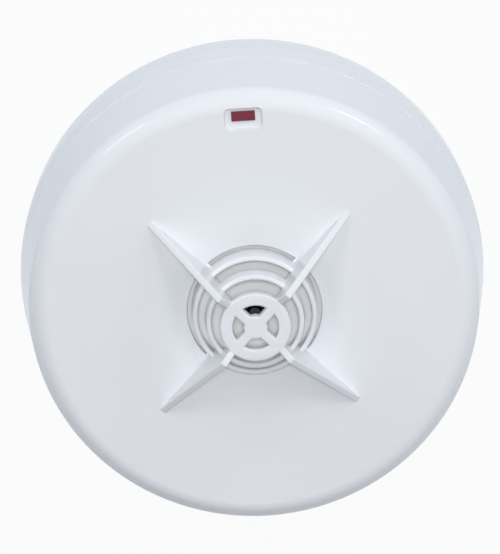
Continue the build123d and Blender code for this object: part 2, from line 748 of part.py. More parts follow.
# transistor that switches the alarm current
transistor_place = (12.5, 3.0)
transistor_l, transistor_w, transistor_h, transistor_span = 4.5, 2.5, 1.5, 4.1
with BuildPart() as alarm_transistor:
    with BuildSketch(Plane.XY.offset(board_z)):
        with Locations(transistor_place):
            Rectangle(transistor_l, transistor_w)
    extrude(amount=-transistor_h)
    chamfer(alarm_transistor.edges().group_by(Axis.Z)[0], edge_r / 2)
    with BuildSketch(Plane.XY.offset(board_z)):
        with Locations(transistor_place):
            with GridLocations(transistor_h, 0, 3, 1):
                Rectangle(pin_w, transistor_span)
    extrude(amount=-pin_t)
alarm_transistor.part.label = "alarm_transistor"
export_step(alarm_transistor.part, "parts/alarm_transistor.step")

# electrolytic capacitor
electrolytic_place = (-12.0, -2.0)
with BuildPart() as electrolytic_capacitor:
    with BuildSketch(Plane.XY.offset(board_z)):
        with Locations(electrolytic_place):
            Circle(electrolytic_r)
    extrude(amount=-electrolytic_h)
    fillet(electrolytic_capacitor.edges().group_by(Axis.Z)[0], edge_r)
electrolytic_capacitor.part.label = "electrolytic_capacitor"
export_step(electrolytic_capacitor.part, "parts/electrolytic_capacitor.step")

# film capacitor
film_place = (14.0, -6.0)
film_l, film_w, film_h = 7.2, 3.5, 6.5
with BuildPart() as film_capacitor:
    with BuildSketch(Plane.XY.offset(board_z)):
        with Locations(film_place):
            Rectangle(film_l, film_w)
    extrude(amount=-film_h)
    fillet(film_capacitor.edges().group_by(Axis.Z)[0], edge_r)
film_capacitor.part.label = "film_capacitor"
export_step(film_capacitor.part, "parts/film_capacitor.step")

# chip resistors
resistor_place = (8.0, -27.0)
resistor_l, resistor_w, resistor_h = 1.6, 3.2, 0.6
with BuildPart() as resistors:
    with BuildSketch(Plane.XY.offset(board_z)):
        with Locations(resistor_place):
            with GridLocations(2 * resistor_l, 1.6 * resistor_w, 4, 2):
                Rectangle(resistor_l, resistor_w)
    extrude(amount=-resistor_h)
resistors.part.label = "resistors"
export_step(resistors.part, "parts/resistors.step")

# ceramic capacitors
ceramic_place = (-2.0, 29.0)
ceramic_l, ceramic_w, ceramic_h = 1.25, 2.0, 1.1
with BuildPart() as ceramic_capacitors:
    with BuildSketch(Plane.XY.offset(board_z)):
        with Locations(ceramic_place):
            with GridLocations(2 * ceramic_l, 0, 6, 1):
                Rectangle(ceramic_l, ceramic_w)
    extrude(amount=-ceramic_h)
ceramic_capacitors.part.label = "ceramic_capacitors"
export_step(ceramic_capacitors.part, "parts/ceramic_capacitors.step")
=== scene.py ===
import math

import bmesh
import bpy
from mathutils import Matrix, Vector

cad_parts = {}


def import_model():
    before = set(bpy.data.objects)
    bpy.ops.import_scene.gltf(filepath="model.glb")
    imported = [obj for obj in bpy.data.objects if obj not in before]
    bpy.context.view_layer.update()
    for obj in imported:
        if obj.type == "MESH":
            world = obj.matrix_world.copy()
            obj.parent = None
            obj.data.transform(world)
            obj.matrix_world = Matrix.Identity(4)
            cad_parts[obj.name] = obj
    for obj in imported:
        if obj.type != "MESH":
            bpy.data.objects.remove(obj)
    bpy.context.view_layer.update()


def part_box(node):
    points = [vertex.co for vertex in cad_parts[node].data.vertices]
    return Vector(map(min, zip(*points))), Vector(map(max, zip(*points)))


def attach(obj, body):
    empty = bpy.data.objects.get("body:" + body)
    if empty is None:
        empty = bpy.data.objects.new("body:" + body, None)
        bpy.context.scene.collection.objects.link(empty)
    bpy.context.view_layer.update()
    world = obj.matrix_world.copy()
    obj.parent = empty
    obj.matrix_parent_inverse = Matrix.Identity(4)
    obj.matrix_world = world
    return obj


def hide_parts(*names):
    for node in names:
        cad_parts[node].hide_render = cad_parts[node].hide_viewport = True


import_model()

MM = 0.001

# ------------------------------------------------------------------ sizes
# Millimetres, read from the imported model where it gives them.


def low(node):
    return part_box(node)[0] / MM


def high(node):
    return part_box(node)[1] / MM


RIM_R = high("base_plate").x
RIM_H = 8.8
BASE_TOP = high("base_plate").z
BASE_INNER_R = RIM_R - 3.0
WEB_T = 2.0
COVER_BOTTOM = BASE_TOP + 0.4
PEAK_Z = high("front_cover").z
FACE_Z = PEAK_Z - 12.0
FACE_UNDER = FACE_Z - 1.8
CORNER_R = RIM_R - 4.0
SHOULDER_R = 4.5
WALL_T = 2.0
CHASSIS_Z = BASE_TOP - 3.0
CHASSIS_TOP = CHASSIS_Z + 2.0
CHASSIS_R = high("chassis_plate").x
BOARD_Z = low("circuit_board").z
BOARD_TOP = high("circuit_board").z
BOARD_R = high("circuit_board").x

VENT_R = 13.9
VENT_TOP = FACE_Z - 1.5
VENT_UNDER = VENT_TOP - 1.8
DIP_R = VENT_R + 6.1
RING_R = VENT_R - 6.75
RING_TOP = FACE_Z + 10.1
RING_H = 2.4
WINDOW_R = RING_R - 2.5
HUB_R = 2.4
SPOKE_W = 2.0
HOOP_T = 1.05
FIN_T = 1.45
FIN_FOOT_R = 28.8
FIN_PEAK_R = VENT_R - 4.3
FIN_AZIMUTH = 45.0

LENS_Y = CORNER_R - 4.8
LENS_L = 4.8
LENS_W = 2.05
LENS_TOP = high("indicator_lens").z
POCKET_Y = LENS_Y - 0.5
POCKET_L = 7.4
POCKET_W = 4.2
POCKET_FLOOR = FACE_Z - 0.9
POCKET_CORNER = 0.9

ENTRY_R = 9.0
ENTRY_H = 4.0
SLOT_X = 30.0
SLOT_L = 12.0
SLOT_W = 4.6
FIXING_R = CHASSIS_R - 15.4
FIXING_START = 15.0
COLUMN_R = 3.6
LEAD_R = 0.25
LED_PITCH = 2.54
BEAD_PITCH = 0.9

ROUND_STEPS = 5
DIP_STEPS = 12
TURN_STEPS = 256
SMALL_TURN_STEPS = 48
SHARP_ANGLE = 40


def wall_r(z):
    """Outside radius of the tapering wall at height z."""
    return RIM_R - (z - RIM_H) * (RIM_R - CORNER_R) / (FACE_Z - RIM_H)


# ------------------------------------------------------------------ outlines


def rounded(corners, steps=ROUND_STEPS):
    """Closed outline through (x, y, radius) corners, each rounded with its own radius."""
    points = []
    count = len(corners)
    for i, (x, y, radius) in enumerate(corners):
        here = Vector((x, y))
        before = (Vector(corners[i - 1][:2]) - here).normalized()
        after = (Vector(corners[(i + 1) % count][:2]) - here).normalized()
        half = before.angle(after) / 2
        if radius <= 0 or half > math.radians(89.5):
            points.append((x, y))
            continue
        centre = here + (before + after).normalized() * (radius / math.sin(half))
        start = here + before * (radius / math.tan(half)) - centre
        end = here + after * (radius / math.tan(half)) - centre
        turn = start.angle_signed(end)
        for k in range(steps + 1):
            spoke = Matrix.Rotation(-turn * k / steps, 2) @ start
            points.append((centre.x + spoke.x, centre.y + spoke.y))
    return points


def rounded_rectangle(length, width, radius, centre=(0, 0), steps=ROUND_STEPS):
    """Outline of a rectangle with rounded corners, anticlockwise."""
    x, y = centre
    a, b = length / 2, width / 2
    corners = ((x + a, y - b), (x + a, y + b), (x - a, y + b), (x - a, y - b))
    return rounded([(u, v, radius) for u, v in corners], steps)


def circle(radius, centre=(0, 0), steps=SMALL_TURN_STEPS):
    """Outline of a circle, anticlockwise."""
    turns = [2 * math.pi * k / steps for k in range(steps)]
    return [(centre[0] + radius * math.cos(a), centre[1] + radius * math.sin(a)) for a in turns]


# ------------------------------------------------------------------ meshes


def new_object(name, mesh):
    piece = bpy.data.objects.new(name, mesh)
    bpy.context.scene.collection.objects.link(piece)
    return piece


def tidy_mesh(mesh):
    """Merges doubles, turns faces outwards, and shades smooth except over sharp edges."""
    shape = bmesh.new()
    shape.from_mesh(mesh)
    bmesh.ops.remove_doubles(shape, verts=shape.verts, dist=0.002 * MM)
    bmesh.ops.dissolve_degenerate(shape, edges=shape.edges, dist=0.001 * MM)
    bmesh.ops.recalc_face_normals(shape, faces=shape.faces)
    for face in shape.faces:
        face.smooth = True
    for edge in shape.edges:
        edge.smooth = len(edge.link_faces) == 2 and edge.calc_face_angle() < math.radians(SHARP_ANGLE)
    shape.to_mesh(mesh)
    shape.free()


def settled(piece):
    """Turns a piece with modifiers into a plain mesh at the origin."""
    view = bpy.context.evaluated_depsgraph_get()
    mesh = bpy.data.meshes.new_from_object(piece.evaluated_get(view))
    name = piece.name
    bpy.data.objects.remove(piece)
    return new_object(name, mesh)


def evened(piece):
    """Weights each corner's normal by face area, so that flats stay flat beside small roundings."""
    weights = piece.modifiers.new("even_normals", "WEIGHTED_NORMAL")
    weights.keep_sharp = True
    return settled(piece)


def joined(name, pieces):
    """One object from several, in the order given."""
    shape = bmesh.new()
    for piece in pieces:
        piece.data.transform(piece.matrix_world)
        shape.from_mesh(piece.data)
        bpy.data.objects.remove(piece)
    mesh = bpy.data.meshes.new(name)
    shape.to_mesh(mesh)
    shape.free()
    return evened(new_object(name, mesh))


def plate(name, outline, thickness, rounding, place=Matrix.Identity(4), holes=()):
    """A flat plate of the outline with rounded edges, its middle plane on the place's XY plane."""
    curve = bpy.data.curves.new(name, "CURVE")
    curve.dimensions = "2D"
    curve.fill_mode = "BOTH"
    curve.extrude = (thickness / 2 - rounding) * MM
    curve.bevel_depth = rounding * MM
    curve.bevel_resolution = 2
    curve.offset = -rounding * MM
    for ring in (outline, *holes):
        spline = curve.splines.new("POLY")
        spline.points.add(len(ring) - 1)
        for point, (x, y) in zip(spline.points, ring):
            point.co = (x * MM, y * MM, 0, 1)
        spline.use_cyclic_u = True
    source = bpy.data.objects.new(name, curve)
    bpy.context.scene.collection.objects.link(source)
    mesh = bpy.data.meshes.new_from_object(source.evaluated_get(bpy.context.evaluated_depsgraph_get()))
    bpy.data.objects.remove(source)
    mesh.transform(place)
    tidy_mesh(mesh)
    return new_object(name, mesh)


def loft(name, rings):
    """A closed solid through rings of (x, y, z) points with the same count, capped at both ends."""
    shape = bmesh.new()
    loops = [[shape.verts.new((x * MM, y * MM, z * MM)) for x, y, z in ring] for ring in rings]
    count = len(loops[0])
    for lower, upper in zip(loops, loops[1:]):
        for k in range(count):
            shape.faces.new((lower[k], lower[(k + 1) % count], upper[(k + 1) % count], upper[k]))
    shape.faces.new(reversed(loops[0]))
    shape.faces.new(loops[-1])
    mesh = bpy.data.meshes.new(name)
    shape.to_mesh(mesh)
    shape.free()
    tidy_mesh(mesh)
    return new_object(name, mesh)


def block(name, length, width, corner, levels, centre=(0, 0)):
    """A lofted block: levels are (z, growth of the outline), from the bottom up."""
    rings = []
    for z, growth in levels:
        sides = (length + 2 * growth, width + 2 * growth)
        outline = rounded_rectangle(*sides, max(corner + growth, 0.05), centre)
        rings.append([(x, y, z) for x, y in outline])
    return loft(name, rings)


def sector(name, outline, start, sweep, steps=10):
    """A solid turned through part of a circle: outline of (radius, height), angles in degrees."""
    rings = []
    for k in range(steps + 1):
        a = math.radians(start + sweep * k / steps)
        rings.append([(r * math.cos(a), r * math.sin(a), z) for r, z in outline])
    return loft(name, rings)


def strip_outline(path, thickness, bend=0.35):
    """Side view of a bent strip: the path is its right side, and each bend is rounded."""
    points = [Vector(p) for p in path]
    left = []
    for i, here in enumerate(points):
        before = (here - points[i - 1]).normalized() if i else None
        after = (points[i + 1] - here).normalized() if i < len(points) - 1 else None
        first, second = before or after, after or before
        normal = Vector((-first.y, first.x)) + Vector((-second.y, second.x))
        left.append(here + normal.normalized() * (thickness / math.cos(first.angle(second) / 2)))
    corners = []
    for row, sign in ((points, 1), (left, -1)):
        side = []
        for i, (x, y) in enumerate(row):
            if i in (0, len(row) - 1):
                side.append((x, y, 0.05))
                continue
            turn = (points[i] - points[i - 1]).angle_signed(points[i + 1] - points[i]) * sign
            side.append((x, y, bend + thickness if turn < 0 else bend))
        corners += side if sign > 0 else reversed(side)
    return rounded(corners, 4)


def at(x=0, y=0, z=0):
    """A shift, in millimetres."""
    return Matrix.Translation((x * MM, y * MM, z * MM))


def placed(piece, place):
    piece.data.transform(place)
    return piece


def twin(piece, name, place):
    """A copy of a piece, moved to a place."""
    mesh = piece.data.copy()
    mesh.transform(place)
    return new_object(name, mesh)


def dress(piece, material, body, slot, *nodes):
    """Gives a finished piece its material, its body and the nodes that it stands for; the slot is not
    used.
    """
    piece.data.materials.clear()
    piece.data.materials.append(material)
    for face in piece.data.polygons:
        face.material_index = 0
    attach(piece, body)
    if nodes:
        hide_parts(*nodes)


def head_piece(name, pieces, material, slot, *nodes):
    """Joins pieces into one finished piece that rides on the head."""
    dress(joined(name, pieces), material, "head", slot, *nodes)


def four(node):
    """The names of four numbered nodes."""
    return [f"{node}_{k}" for k in range(1, 5)]


def upright(azimuth):
    """Plane through the axis: X runs outwards at the azimuth, Y is up."""
    return Matrix.Rotation(math.radians(azimuth), 4, "Z") @ Matrix.Rotation(math.radians(90), 4, "X")


# ------------------------------------------------------------------ geometry node trees


class Tree:
    """A geometry node tree with named inputs."""

    def __init__(self, name, sockets):
        self.tree = bpy.data.node_groups.new(name, "GeometryNodeTree")
        face = self.tree.interface
        face.new_socket("Geometry", in_out="INPUT", socket_type="NodeSocketGeometry")
        for label, kind, value in sockets:
            socket = face.new_socket(label, in_out="INPUT", socket_type="NodeSocket" + kind)
            if value is not None:
                socket.default_value = value
        face.new_socket("Geometry", in_out="OUTPUT", socket_type="NodeSocketGeometry")
        self.source = self.tree.nodes.new("NodeGroupInput")
        self.sink = self.tree.nodes.new("NodeGroupOutput")

    def node(self, kind, **settings):
        made = self.tree.nodes.new(kind)
        for key, value in settings.items():
            setattr(made, key, value)
        return made

    def link(self, start, end):
        self.tree.links.new(start, end)

    def given(self, label):
        """The link that brings in one of the tree's inputs."""
        return self.source.outputs[label]

    def math(self, operation, *values):
        """The result of a maths node on links and numbers."""
        made = self.node("ShaderNodeMath", operation=operation)
        for inlet, value in zip(made.inputs, values):
            if isinstance(value, float):
                inlet.default_value = value
            else:
                self.link(value, inlet)
        return made.outputs[0]

    def chain(self, geometry, *nodes):
        """Runs geometry through the nodes, first output to first geometry input."""
        for step in nodes:
            inlet = next(s for s in step.inputs if s.type == "GEOMETRY")
            self.link(geometry, inlet)
            geometry = next(s for s in step.outputs if s.type == "GEOMETRY")
        return geometry

    def close(self, geometry):
        """Realize Instances and Set Material end every tree."""
        realize = self.node("GeometryNodeRealizeInstances")
        finish = self.node("GeometryNodeSetMaterial")
        self.link(self.given("Material"), finish.inputs["Material"])
        self.link(self.chain(geometry, realize, finish), self.sink.inputs["Geometry"])
        return self.tree


def grow(piece, tree, **values):
    """Runs a piece through a tree and returns the plain mesh piece."""
    modifier = piece.modifiers.new(tree.name, "NODES")
    modifier.node_group = tree
    for socket in tree.interface.items_tree:
        key = socket.name.lower().replace(" ", "_")
        if socket.in_out == "INPUT" and key in values:
            modifier[socket.identifier] = values[key]
    grown = settled(piece)
    tidy_mesh(grown.data)
    return grown


def turned_tree():
    """Turns an outline drawn as (radius, -height) round the Z axis."""
    work = Tree("turned_shell", [("Segments", "Int", 64), ("Material", "Material", None)])
    path = work.node("GeometryNodeCurvePrimitiveCircle")
    path.inputs["Radius"].default_value = 1e-6
    normal = work.node("GeometryNodeSetCurveNormal", mode="Z_UP")
    outline = work.node("GeometryNodeMeshToCurve")
    sweep = work.node("GeometryNodeCurveToMesh")
    merge = work.node("GeometryNodeMergeByDistance")
    merge.inputs["Distance"].default_value = 0.003 * MM
    work.link(work.given("Segments"), path.inputs["Resolution"])
    work.link(path.outputs["Curve"], normal.inputs["Curve"])
    work.link(normal.outputs["Curve"], sweep.inputs["Curve"])
    work.link(work.given("Geometry"), outline.inputs["Mesh"])
    work.link(outline.outputs["Curve"], sweep.inputs["Profile Curve"])
    return work.close(work.chain(sweep.outputs["Mesh"], merge))


def copies_tree():
    """Copies a shape round the Z axis, the first one turned by Start degrees."""
    sockets = [("Count", "Int", 4), ("Start", "Float", 0.0), ("Material", "Material", None)]
    work = Tree("ring_of_copies", sockets)
    points = work.node("GeometryNodePoints")
    index = work.node("GeometryNodeInputIndex")
    spin = work.node("ShaderNodeCombineXYZ")
    place = work.node("GeometryNodeInstanceOnPoints")
    share = work.math("DIVIDE", index.outputs["Index"], work.given("Count"))
    start = work.math("RADIANS", work.given("Start"))
    work.link(work.given("Count"), points.inputs["Count"])
    work.link(work.math("MULTIPLY_ADD", share, 2 * math.pi, start), spin.inputs["Z"])
    work.link(points.outputs["Points"], place.inputs["Points"])
    work.link(work.given("Geometry"), place.inputs["Instance"])
    work.link(spin.outputs["Vector"], place.inputs["Rotation"])
    return work.close(place.outputs["Instances"])


def cut_tree():
    """Cuts another object's shape out of this one."""
    work = Tree("cut_out", [("Cutter", "Object", None), ("Material", "Material", None)])
    info = work.node("GeometryNodeObjectInfo")
    cut = work.node("GeometryNodeMeshBoolean", operation="DIFFERENCE")
    cut.solver = "EXACT"
    work.link(work.given("Cutter"), info.inputs["Object"])
    work.link(work.given("Geometry"), cut.inputs["Mesh 1"])
    work.link(info.outputs["Geometry"], cut.inputs["Mesh 2"])
    return work.close(cut.outputs["Mesh"])


def rows_tree():
    """Copies a shape in straight rows about the origin."""
    sockets = [("Across", "Int", 2), ("Along", "Int", 1), ("Pitch Across", "Float", 0.002)]
    sockets += [("Pitch Along", "Float", 0.002), ("Material", "Material", None)]
    work = Tree("rows_of_copies", sockets)
    grid = work.node("GeometryNodeMeshGrid")
    place = work.node("GeometryNodeInstanceOnPoints")
    for way, axis in (("Across", "X"), ("Along", "Y")):
        gaps = work.math("SUBTRACT", work.given(way), 1.0)
        length = work.math("MULTIPLY", gaps, work.given("Pitch " + way))
        work.link(length, grid.inputs["Size " + axis])
        work.link(work.given(way), grid.inputs["Vertices " + axis])
    work.link(grid.outputs["Mesh"], place.inputs["Points"])
    work.link(work.given("Geometry"), place.inputs["Instance"])
    return work.close(place.outputs["Instances"])


def thread_tree():
    """Sinks a helical groove into a round shank that stands on the Z axis."""
    sockets = [("Pitch", "Float", 0.0005), ("Depth", "Float", 0.0003), ("Top", "Float", 0.0)]
    work = Tree("helical_thread", [*sockets, ("Material", "Material", None)])
    where = work.node("GeometryNodeInputPosition").outputs["Position"]
    parts = work.node("ShaderNodeSeparateXYZ")
    outwards = work.node("ShaderNodeVectorMath", operation="MULTIPLY")
    outwards.inputs[1].default_value = (1, 1, 0)
    unit = work.node("ShaderNodeVectorMath", operation="NORMALIZE")
    shift = work.node("ShaderNodeVectorMath", operation="SCALE")
    below = work.node("FunctionNodeCompare", data_type="FLOAT", operation="LESS_THAN")
    move = work.node("GeometryNodeSetPosition")
    work.link(where, parts.inputs["Vector"])
    x, y, z = parts.outputs
    turns = work.math("DIVIDE", work.math("ARCTAN2", y, x), 2 * math.pi)
    rise = work.math("DIVIDE", z, work.given("Pitch"))
    wave = work.math("PINGPONG", work.math("SUBTRACT", rise, turns), 0.5)
    depth = work.math("MULTIPLY", wave, work.given("Depth"))
    work.link(where, outwards.inputs[0])
    work.link(outwards.outputs["Vector"], unit.inputs[0])
    work.link(unit.outputs["Vector"], shift.inputs[0])
    work.link(work.math("MULTIPLY", depth, -2.0), shift.inputs["Scale"])
    work.link(z, below.inputs[0])
    work.link(work.given("Top"), below.inputs[1])
    work.link(work.given("Geometry"), move.inputs["Geometry"])
    work.link(below.outputs["Result"], move.inputs["Selection"])
    work.link(shift.outputs["Vector"], move.inputs["Offset"])
    return work.close(move.outputs["Geometry"])


TURNED = turned_tree()
ROWS = rows_tree()
THREAD = thread_tree()
COPIES = copies_tree()
CUT = cut_tree()


def turned(name, outline, material, segments=TURN_STEPS, closed=True):
    """A turned solid from an outline of (radius, height) points."""
    mesh = bpy.data.meshes.new(name)
    count = len(outline)
    edges = [(k, (k + 1) % count) for k in range(count if closed else count - 1)]
    mesh.from_pydata([(r * MM, -z * MM, 0) for r, z in outline], edges, [])
    return grow(new_object(name, mesh), TURNED, segments=segments, material=material)


def ring_of(piece, count, start, material):
    """Count copies of a piece round the axis, in one mesh."""
    return grow(piece, COPIES, count=count, start=float(start), material=material)


def rows_of(piece, across, along, pitch_across, pitch_along, material):
    """Copies of a piece in rows about the origin, in one mesh."""
    pitches = {"pitch_across": pitch_across * MM, "pitch_along": pitch_along * MM}
    return grow(piece, ROWS, across=across, along=along, material=material, **pitches)


def cut_out(piece, cutter, material):
    """The piece with the cutter's shape taken away."""
    result = grow(piece, CUT, cutter=cutter, material=material)
    bpy.data.objects.remove(cutter)
    return result


# ------------------------------------------------------------------ materials


def shader_node(nodes, kind, **values):
    """A shader node with values on its named inputs."""
    made = nodes.new(kind)
    for socket, value in values.items():
        made.inputs[socket.replace("_", " ")].default_value = value
    return made


def blend(nodes, first, second):
    """A mix of two colours, its factor still to be linked."""
    mix = nodes.new("ShaderNodeMix")
    mix.data_type = "RGBA"
    mix.inputs["A"].default_value = first
    mix.inputs["B"].default_value = second
    return mix


def surface(name, base, second, roughness, grain, patch=60.0, **shader):
    """A node material: two colours mixed in soft patches, uneven roughness and a fine bump.

    grain is (cells per metre, depth in metres) of the bump; shader sets sockets directly."""
    material = bpy.data.materials.new(name)
    material.use_nodes = True
    nodes, links = material.node_tree.nodes, material.node_tree.links
    principled = nodes["Principled BSDF"]
    where = nodes.new("ShaderNodeTexCoord").outputs["Object"]
    scale, depth = grain
    patches = shader_node(nodes, "ShaderNodeTexNoise", Scale=patch, Detail=4.0)
    wear = shader_node(nodes, "ShaderNodeTexNoise", Scale=patch * 7, Detail=3.0)
    fine = shader_node(nodes, "ShaderNodeTexNoise", Scale=scale, Detail=2.0)
    mix = blend(nodes, (*base, 1), (*second, 1))
    spread = shader_node(nodes, "ShaderNodeMapRange", To_Min=roughness[0], To_Max=roughness[1])
    bump = shader_node(nodes, "ShaderNodeBump", Strength=1.0, Distance=depth)
    for noise in (patches, wear, fine):
        links.new(where, noise.inputs["Vector"])
    links.new(patches.outputs["Fac"], mix.inputs["Factor"])
    links.new(mix.outputs["Result"], principled.inputs["Base Color"])
    links.new(wear.outputs["Fac"], spread.inputs["Value"])
    links.new(spread.outputs["Result"], principled.inputs["Roughness"])
    links.new(fine.outputs["Fac"], bump.inputs["Height"])
    links.new(bump.outputs["Normal"], principled.inputs["Normal"])
    for socket, value in shader.items():
        principled.inputs[socket.replace("_", " ")].default_value = value
    return material


GLAZE = {"Coat_Weight": 0.7, "Coat_Roughness": 0.09}
COVER_WHITE = surface(
    "cover_white_plastic", (0.9, 0.905, 0.92), (0.88, 0.89, 0.905), (0.45, 0.55), (1400, 4e-6), **GLAZE
)
BASE_WHITE = surface(
    "base_white_plastic", (0.89, 0.895, 0.91), (0.87, 0.88, 0.895), (0.45, 0.55), (1200, 5e-6), **GLAZE
)
# White plastic of the inside parts, made paler and warmer than the cover's plastic: painted fill light
# that lightens and warms the shade seen inside the vent.
INNER_WHITE_AND_PAINTED_FILL = surface(
    "inner_white_plastic", (0.95, 0.945, 0.93), (0.93, 0.925, 0.91), (0.4, 0.5), (1200, 6e-6)
)
LENS_RED = surface(
    "red_lens",
    (0.24, 0.035, 0.065),
    (0.2, 0.03, 0.055),
    (0.12, 0.2),
    (900, 2e-6),
    Coat_Weight=0.6,
    Coat_Roughness=0.08
)
SLEEVE_BLACK = surface(
    "black_sleeve", (0.022, 0.022, 0.024), (0.035, 0.035, 0.038), (0.45, 0.6), (2000, 6e-6)
)
BEAD_BLACK = surface("black_bead", (0.02, 0.02, 0.021), (0.045, 0.043, 0.04), (0.12, 0.25), (1500, 1e-5))
LED_RED = surface(
    "red_lamp", (0.4, 0.02, 0.02), (0.3, 0.015, 0.02), (0.15, 0.25), (900, 2e-6), Transmission_Weight=0.3
)
BOARD_GREEN = surface(
    "green_board", (0.02, 0.12, 0.05), (0.015, 0.09, 0.04), (0.25, 0.4), (500, 1e-5), patch=200.0
)
CHIP_BLACK = surface("moulded_black", (0.02, 0.02, 0.022), (0.03, 0.03, 0.033), (0.5, 0.65), (4000, 8e-6))
SLEEVE_BLUE = surface(
    "capacitor_sleeve", (0.01, 0.02, 0.09), (0.015, 0.03, 0.12), (0.2, 0.3), (800, 3e-6)
)
FILM_RED = surface("film_case", (0.35, 0.05, 0.02), (0.28, 0.04, 0.02), (0.25, 0.35), (800, 5e-6))
RESISTOR_BLACK = surface(
    "resistor_glaze", (0.02, 0.02, 0.02), (0.04, 0.04, 0.04), (0.3, 0.45), (3000, 5e-6)
)
CERAMIC_TAN = surface("fired_ceramic", (0.42, 0.29, 0.16), (0.36, 0.24, 0.13), (0.45, 0.6), (3000, 6e-6))
BRONZE = surface(
    "plated_bronze", (0.62, 0.55, 0.4), (0.55, 0.47, 0.33), (0.22, 0.38), (1500, 4e-6), Metallic=1.0
)
BRASS = surface(
    "rivet_brass", (0.68, 0.5, 0.22), (0.6, 0.42, 0.18), (0.2, 0.35), (1500, 4e-6), Metallic=1.0
)
TINNED = surface(
    "tinned_wire", (0.7, 0.7, 0.68), (0.6, 0.6, 0.58), (0.25, 0.4), (2500, 4e-6), Metallic=1.0
)
ZINC = surface(
    "zinc_plate", (0.62, 0.64, 0.66), (0.52, 0.54, 0.56), (0.25, 0.4), (2000, 5e-6), Metallic=1.0
)

# ------------------------------------------------------------------ front cover


def cover_shell():
    """The cover's turned shell: wall, shoulder, face, dip and vent edge, with the inside."""
    dip = []
    for k in range(1, DIP_STEPS):
        share = k / DIP_STEPS
        drop = (FACE_Z - VENT_TOP) * (1 - share) ** 2
        dip.append((VENT_R + (DIP_R - VENT_R) * share, FACE_Z - drop, 0))
    ledge = COVER_BOTTOM + 2.2
    inner_wall = [
        (wall_r(FACE_UNDER) - WALL_T, FACE_UNDER, 2.0),
        (wall_r(ledge) - WALL_T, ledge, 0.4),
        (CHASSIS_R - 2.0, ledge, 0.3),
        (CHASSIS_R - 2.0, CHASSIS_TOP, 0.3),
        (CHASSIS_R, CHASSIS_TOP, 0.3),
        (CHASSIS_R, COVER_BOTTOM, 0.1),
    ]
    outline = [
        (VENT_R, VENT_UNDER, 0.25),
        (VENT_R, VENT_TOP, 0.35),
        *dip,
        (DIP_R, FACE_Z, 0),
        (CORNER_R, FACE_Z, SHOULDER_R),
        (wall_r(COVER_BOTTOM), COVER_BOTTOM, 0.15),
        *reversed(inner_wall),
        (VENT_R + 6.6, FACE_UNDER, 1.0),
        (VENT_R + 3.4, VENT_UNDER, 0.5),
    ]
    return turned("cover_shell", rounded(outline, steps=14), COVER_WHITE)


def pocket_cutter():
    """The lens pocket with a softened lip and a rounded floor edge."""
    levels = [(POCKET_FLOOR, -0.25), (POCKET_FLOOR + 0.08, -0.08), (POCKET_FLOOR + 0.25, 0.0)]
    levels += [(FACE_Z - 0.3, 0.02), (FACE_Z - 0.15, 0.07), (FACE_Z - 0.05, 0.15)]
    levels += [(FACE_Z + 0.02, 0.27), (FACE_Z + 1.0, 0.27)]
    return block("pocket_cutter", POCKET_L, POCKET_W, POCKET_CORNER, levels, (0, POCKET_Y))


def vent_hoops():
    """The cage's two slanted hoops, the wide low one first."""
    half = HOOP_T / 2
    hoops = []
    sizes = ((VENT_R - 1.76, 2.5, VENT_R - 1.35, -2.7), (VENT_R - 4.56, 6.4, VENT_R - 4.2, 3.2))
    for n, (top_r, top_rise, foot_r, foot_rise) in enumerate(sizes):
        foot, top = FACE_Z + foot_rise, FACE_Z + top_rise
        outline = [(foot_r - half, foot, 0.15), (foot_r + half, foot, 0.15)]
        outline += [(top_r + half, top, 0.45), (top_r - half, top, 0.45)]
        hoops.append(turned(f"hoop_{n}", rounded(outline), COVER_WHITE, 192))
    return hoops


def centre_ring():
    """The ring on top of the cage, with four fan-shaped windows round its hub."""
    half = math.radians(45)
    lean = math.asin(SPOKE_W / 2 / WINDOW_R)
    hub_lean = math.asin(SPOKE_W / 2 / HUB_R)
    fans = []
    for n in range(4):
        middle = math.radians(FIN_AZIMUTH + 45 + 90 * n)
        outer = [middle - half + lean + (2 * half - 2 * lean) * k / 12 for k in range(13)]
        inner = [middle + half - hub_lean - (2 * half - 2 * hub_lean) * k / 6 for k in range(7)]
        fan = [(WINDOW_R * math.cos(a), WINDOW_R * math.sin(a)) for a in outer]
        fans.append(fan + [(HUB_R * math.cos(a), HUB_R * math.sin(a)) for a in inner])
    level = at(0, 0, RING_TOP - RING_H / 2)
    return plate("centre_ring", circle(RING_R, steps=128), RING_H, 0.4, level, holes=fans)


def guard_fin():
    """One guard fin, from its foot on the face to the centre ring."""
    inner = RING_R - 0.5
    outline = [
        (FIN_FOOT_R, FACE_Z - 0.9, 0), (FIN_FOOT_R, FACE_Z + 0.02, 0.05), (FIN_PEAK_R, PEAK_Z, 0.35),
        (inner, RING_TOP - 0.45, 0), (inner, RING_TOP - RING_H + 0.4, 0),
        (VENT_R - 4.2, FACE_Z + 3.5, 0.2), (VENT_R - 1.35, FACE_Z - 2.4, 0.2),
        (VENT_R + 0.4, VENT_UNDER + 0.4, 0), (DIP_R, FACE_Z - 0.9, 0),
    ]
    return plate("fin", rounded(outline), FIN_T, 0.3, upright(0))


